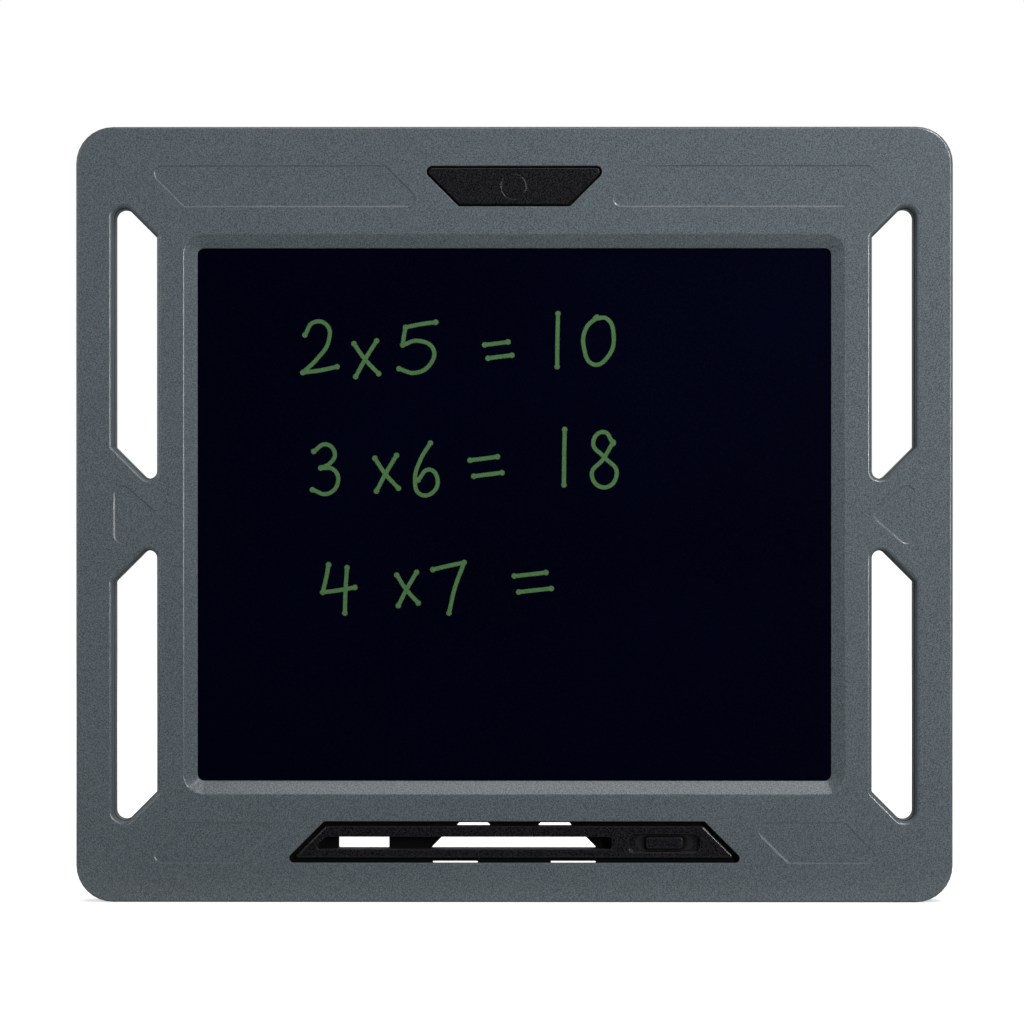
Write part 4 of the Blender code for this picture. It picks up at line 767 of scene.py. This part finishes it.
# %% [markdown]
# ## Screws, feet and the battery door
# The screws are pan heads with a cross recess. A head grows from its shank: out to the rim, over
# the roll, and in to its flat top, where a cross outline is sunk before the top is filled. One
# screw is made and copied to the ten wells. The feet and the door are built the same way.

# %% Screws
HEAD_ROLL = 0.4
# The cross recess in parts of the head's radius, its taper in parts of half an arm's width
CROSS_ARM, CROSS_HALF, CROSS_DEPTH, CROSS_TAPER = 0.62, 0.15, 0.35, 0.3


def add_screw(bm, across, up, tip, head, rear, shank_radius, head_radius):
    """A pan-head screw from its tip to the top of its head, facing the back."""
    shape = [(0, tip - head), (shank_radius - head_radius, 0), (0, head + HEAD_ROLL - rear)]
    push(bm, add_disc(bm, across, up, shank_radius, tip, front=False),
         shape + roll_out(HEAD_ROLL), opened=True)
    arm, half = head_radius * CROSS_ARM, head_radius * CROSS_HALF
    cross = [(-half, -arm), (half, -arm), (half, -half), (arm, -half), (arm, half), (half, half),
             (half, arm), (-half, arm), (-half, half), (-arm, half), (-arm, -half), (-half, -half)]
    recess = add_outline(bm, [(across + x, up + y, 0.0) for x, y in cross], rear, front=False)
    push(bm, recess, [(half * CROSS_TAPER, head_radius * CROSS_DEPTH)])
    close_level(bm, rear)
    close_level(bm, tip)


bm = bmesh.new()
add_screw(bm, 0.0, 0.0, tip=4.2, head=11.3, rear=12.9, shank_radius=1.2, head_radius=2.3)
master = bm.verts[:] + bm.edges[:] + bm.faces[:]
for across, up in case_screws:
    copied = bmesh.ops.duplicate(bm, geom=master)["geom"]
    verts = [item for item in copied if isinstance(item, bmesh.types.BMVert)]
    bmesh.ops.translate(bm, vec=(across, 0.0, up), verts=verts)
master_verts = [item for item in master if isinstance(item, bmesh.types.BMVert)]
bmesh.ops.delete(bm, geom=master_verts, context="VERTS")
keep(bm, "case_screw_set", steel, "case",
     [f"case_screw_{number:02d}" for number in range(1, len(case_screws) + 1)])
bm = bmesh.new()
add_screw(bm, DOOR_SCREW_ACROSS, STRIP_UP, tip=9.1, head=12.5, rear=BODY_DEPTH,
          shank_radius=0.9, head_radius=1.7)
keep(bm, "door_screw", steel, "cell_door", ["battery_door_screw"])

# %% Feet
FOOT_BASE, FOOT_TOP, FOOT_RADIUS, FOOT_ROLL = 12.8, 14.4, 6.0, 0.5

bm = bmesh.new()
dish = [(0.9, 0.0), (0.3, 0.12), (0.3, 0.08)]
for across, up in feet:
    push(bm, add_disc(bm, across, up, FOOT_RADIUS, FOOT_BASE, front=False, sides=64),
         [(0, FOOT_BASE + FOOT_ROLL - FOOT_TOP)] + roll_out(FOOT_ROLL) + dish)
close_level(bm, FOOT_BASE)
keep(bm, "foot_pads", rubber, "case",
     [f"rubber_foot_{number}" for number in range(1, len(feet) + 1)])

# %% Battery door
DOOR_FRONT, DOOR_ROLL = 11.5, 0.3
DOOR_WELL, DOOR_WELL_DEPTH, DOOR_WELL_ROLL, DOOR_WELL_LEDGE = 2.05, 1.0, 0.15, 0.8
GRIPS, FIRST_GRIP, GRIP_PITCH = 3, 47.0, 2.4

bm = bmesh.new()
push(bm, add_outline(bm, door_edge, DOOR_FRONT, front=False),
     [(0, DOOR_FRONT + DOOR_ROLL - BODY_DEPTH)] + roll_out(DOOR_ROLL, 4), opened=True)
well = roll_in(DOOR_WELL_ROLL, 3) + [(0, DOOR_WELL_DEPTH - DOOR_WELL_ROLL), (DOOR_WELL_LEDGE, 0),
                                     (0, BODY_DEPTH - DOOR_WELL_DEPTH - DOOR_FRONT)]
push(bm, add_disc(bm, DOOR_SCREW_ACROSS, STRIP_UP, DOOR_WELL, BODY_DEPTH, front=False),
     well, opened=True)
for row in range(GRIPS):
    grip = rectangle(1.5, 9.0, radius=0.7, across=FIRST_GRIP + GRIP_PITCH * row, up=STRIP_UP)
    push(bm, add_outline(bm, grip, BODY_DEPTH, front=False), roll_in(SINK_ROLL, 3) + [(0.1, 0.2)])
close_level(bm, BODY_DEPTH)
close_level(bm, DOOR_FRONT)
mark_walls(bm)
keep(bm, "cell_door_panel", grey_abs, "cell_door", ["battery_door"])

# %% [markdown]
# ## The coin cell
# With the door off, the cell shows its wide can. It is a turned shape, so its half section is
# drawn with a few vertices and spun once round its axis.

# %% Spun cell
bm = bmesh.new()
# Radius and depth, from the middle of the can round to the middle of the cap
section = [(0.0, 11.1), (9.3, 11.1), (9.8, 11.0), (10.0, 10.7), (10.0, 8.9),
           (9.7, 8.55), (9.0, 8.5), (8.8, 8.3), (8.6, 7.95), (0.0, 7.9)]
verts = [bm.verts.new(place(CELL_ACROSS + radius, STRIP_UP, depth)) for radius, depth in section]
chain = [bm.edges.new(pair) for pair in zip(verts, verts[1:])]
bmesh.ops.spin(bm, geom=verts + chain, cent=place(CELL_ACROSS, STRIP_UP, 0.0), axis=(0.0, 1.0, 0.0),
               angle=math.tau, steps=72, use_merge=True)
bmesh.ops.remove_doubles(bm, verts=bm.verts, dist=0.001)
keep(bm, "coin_cell_can", cell_steel, "case", ["coin_cell"])

# %% [markdown]
# ## Floor and light
# The picture has a plain white ground. A wide pale floor carries the tablet's soft shadow, and
# floor and world show as white to the camera. Mirrors see that white only beyond the tablet: the
# room behind the camera is dim, and for mirror rays the floor in front is darkened to a painted
# dark reflection. Tall strips at both sides light the rolled rims, a wide softbox above glows in
# the bevel below the window, a small one fills from the right, and one behind lights the back.

# %% Stage
bm = bmesh.new()
bmesh.ops.create_grid(bm, x_segments=8, y_segments=8, size=12.0)
sheet = bpy.data.meshes.new("studio_floor")
bm.to_mesh(sheet)
bm.free()
floor = bpy.data.objects.new("studio_floor", sheet)
bpy.context.scene.collection.objects.link(floor)


def larger(tree, first, second):
    """The larger of two values."""
    return add_node(tree, "Math", {0: first, 1: second}, operation="MAXIMUM").outputs[0]


def times(tree, first, second):
    """The product of two values."""
    return add_node(tree, "Math", {0: first, 1: second}, operation="MULTIPLY").outputs[0]


def ground_shown(tree, toward, near, far):
    """Where the ground is white to the camera or in mirrors, and where mirrors see it dim."""
    path = add_node(tree, "LightPath").outputs
    mirrored = larger(tree, path["Is Glossy Ray"], path["Is Transmission Ray"])
    heading = add_node(tree, "SeparateXYZ", {"Vector": toward}).outputs["Y"]
    beyond = ranged(tree, heading, near, far)
    before = ranged(tree, beyond, start=1.0, end=0.0)
    white = larger(tree, path["Is Camera Ray"], times(tree, mirrored, beyond))
    return white, times(tree, mirrored, before)


paper, tree, shader = new_material("pale_floor_paper", Roughness=0.9, Specular_IOR_Level=0.0)
shader.inputs["Emission Color"].default_value = linear("ffffff")
where = add_node(tree, "TexCoord").outputs["Object"]
away = add_node(tree, "VectorMath", {0: where}, operation="LENGTH").outputs["Value"]
lift = ranged(tree, away, low=0.25, high=1.6, start=0.6, end=1.0, ease="SMOOTHSTEP")
white, dim = ground_shown(tree, where, near=-0.1, far=0.1)
# Painted dark reflection: mirror rays meeting the floor in front see dark grey, not the pale paper.
paper_with_painted_dark_reflection = mixed(tree, dim, linear("cfcfcd"), linear("3c3c3c"))
tree.links.new(paper_with_painted_dark_reflection, shader.inputs["Base Color"])
tree.links.new(times(tree, white, lift), shader.inputs["Emission Strength"])
floor.data.materials.append(paper)

AMBIENT = 0.1
world = bpy.data.worlds.new("white_studio")
world.use_nodes = True
bpy.context.scene.world = world
tree = world.node_tree
heading = add_node(tree, "TexCoord").outputs["Generated"]
white = ground_shown(tree, heading, near=0.2, far=0.7)[0]
sky = tree.nodes["Background"]
sky.inputs["Color"].default_value = linear("ffffff")
tree.links.new(ranged(tree, white, start=AMBIENT), sky.inputs["Strength"])


def add_lamp(name, spot, width, height, power):
    """A soft lamp that points at the middle of the tablet."""
    lamp = bpy.data.lights.new(name, "AREA")
    lamp.shape = "RECTANGLE"
    lamp.size = width
    lamp.size_y = height
    lamp.energy = power
    held = bpy.data.objects.new(name, lamp)
    held.location = spot
    aim = Vector((0.0, 0.0, MIDDLE)) - Vector(spot)
    held.rotation_euler = aim.to_track_quat("-Z", "Y").to_euler()
    bpy.context.scene.collection.objects.link(held)


add_lamp("softbox_above", (0.25, -0.75, 1.44), 1.2, 0.8, 6.8)
add_lamp("softbox_right", (0.45, -0.45, 0.7), 0.2, 0.2, 3.0)
add_lamp("strip_right", (0.75, -1.2, 0.4), 0.08, 0.7, 8.9)
add_lamp("strip_left", (-0.75, -1.2, 0.4), 0.08, 0.7, 1.4)
add_lamp("strip_side", (-1.0, -0.15, 0.38), 0.08, 0.7, 2.2)
add_lamp("softbox_behind", (0.0, 0.9, 1.2), 1.0, 0.8, 16.0)
print("stage: floor, world and six lamps")

# %% [markdown]
# ## Camera
# The picture was taken square on with a long lens. Its place, turn and lens were fitted to the
# tablet's own edges, window and key, measured in the picture; what is left is under a pixel.

# %% Camera
lens = bpy.data.cameras.new("long_lens")
lens.lens = 107.98
camera = bpy.data.objects.new("camera", lens)
camera.location = (0.00445, -1.25, 0.1601)
camera.rotation_euler = [math.radians(turn) for turn in (89.9045, -0.001, 0.247)]
bpy.context.scene.collection.objects.link(camera)
bpy.context.scene.camera = camera
bpy.context.scene.view_settings.view_transform = "Standard"
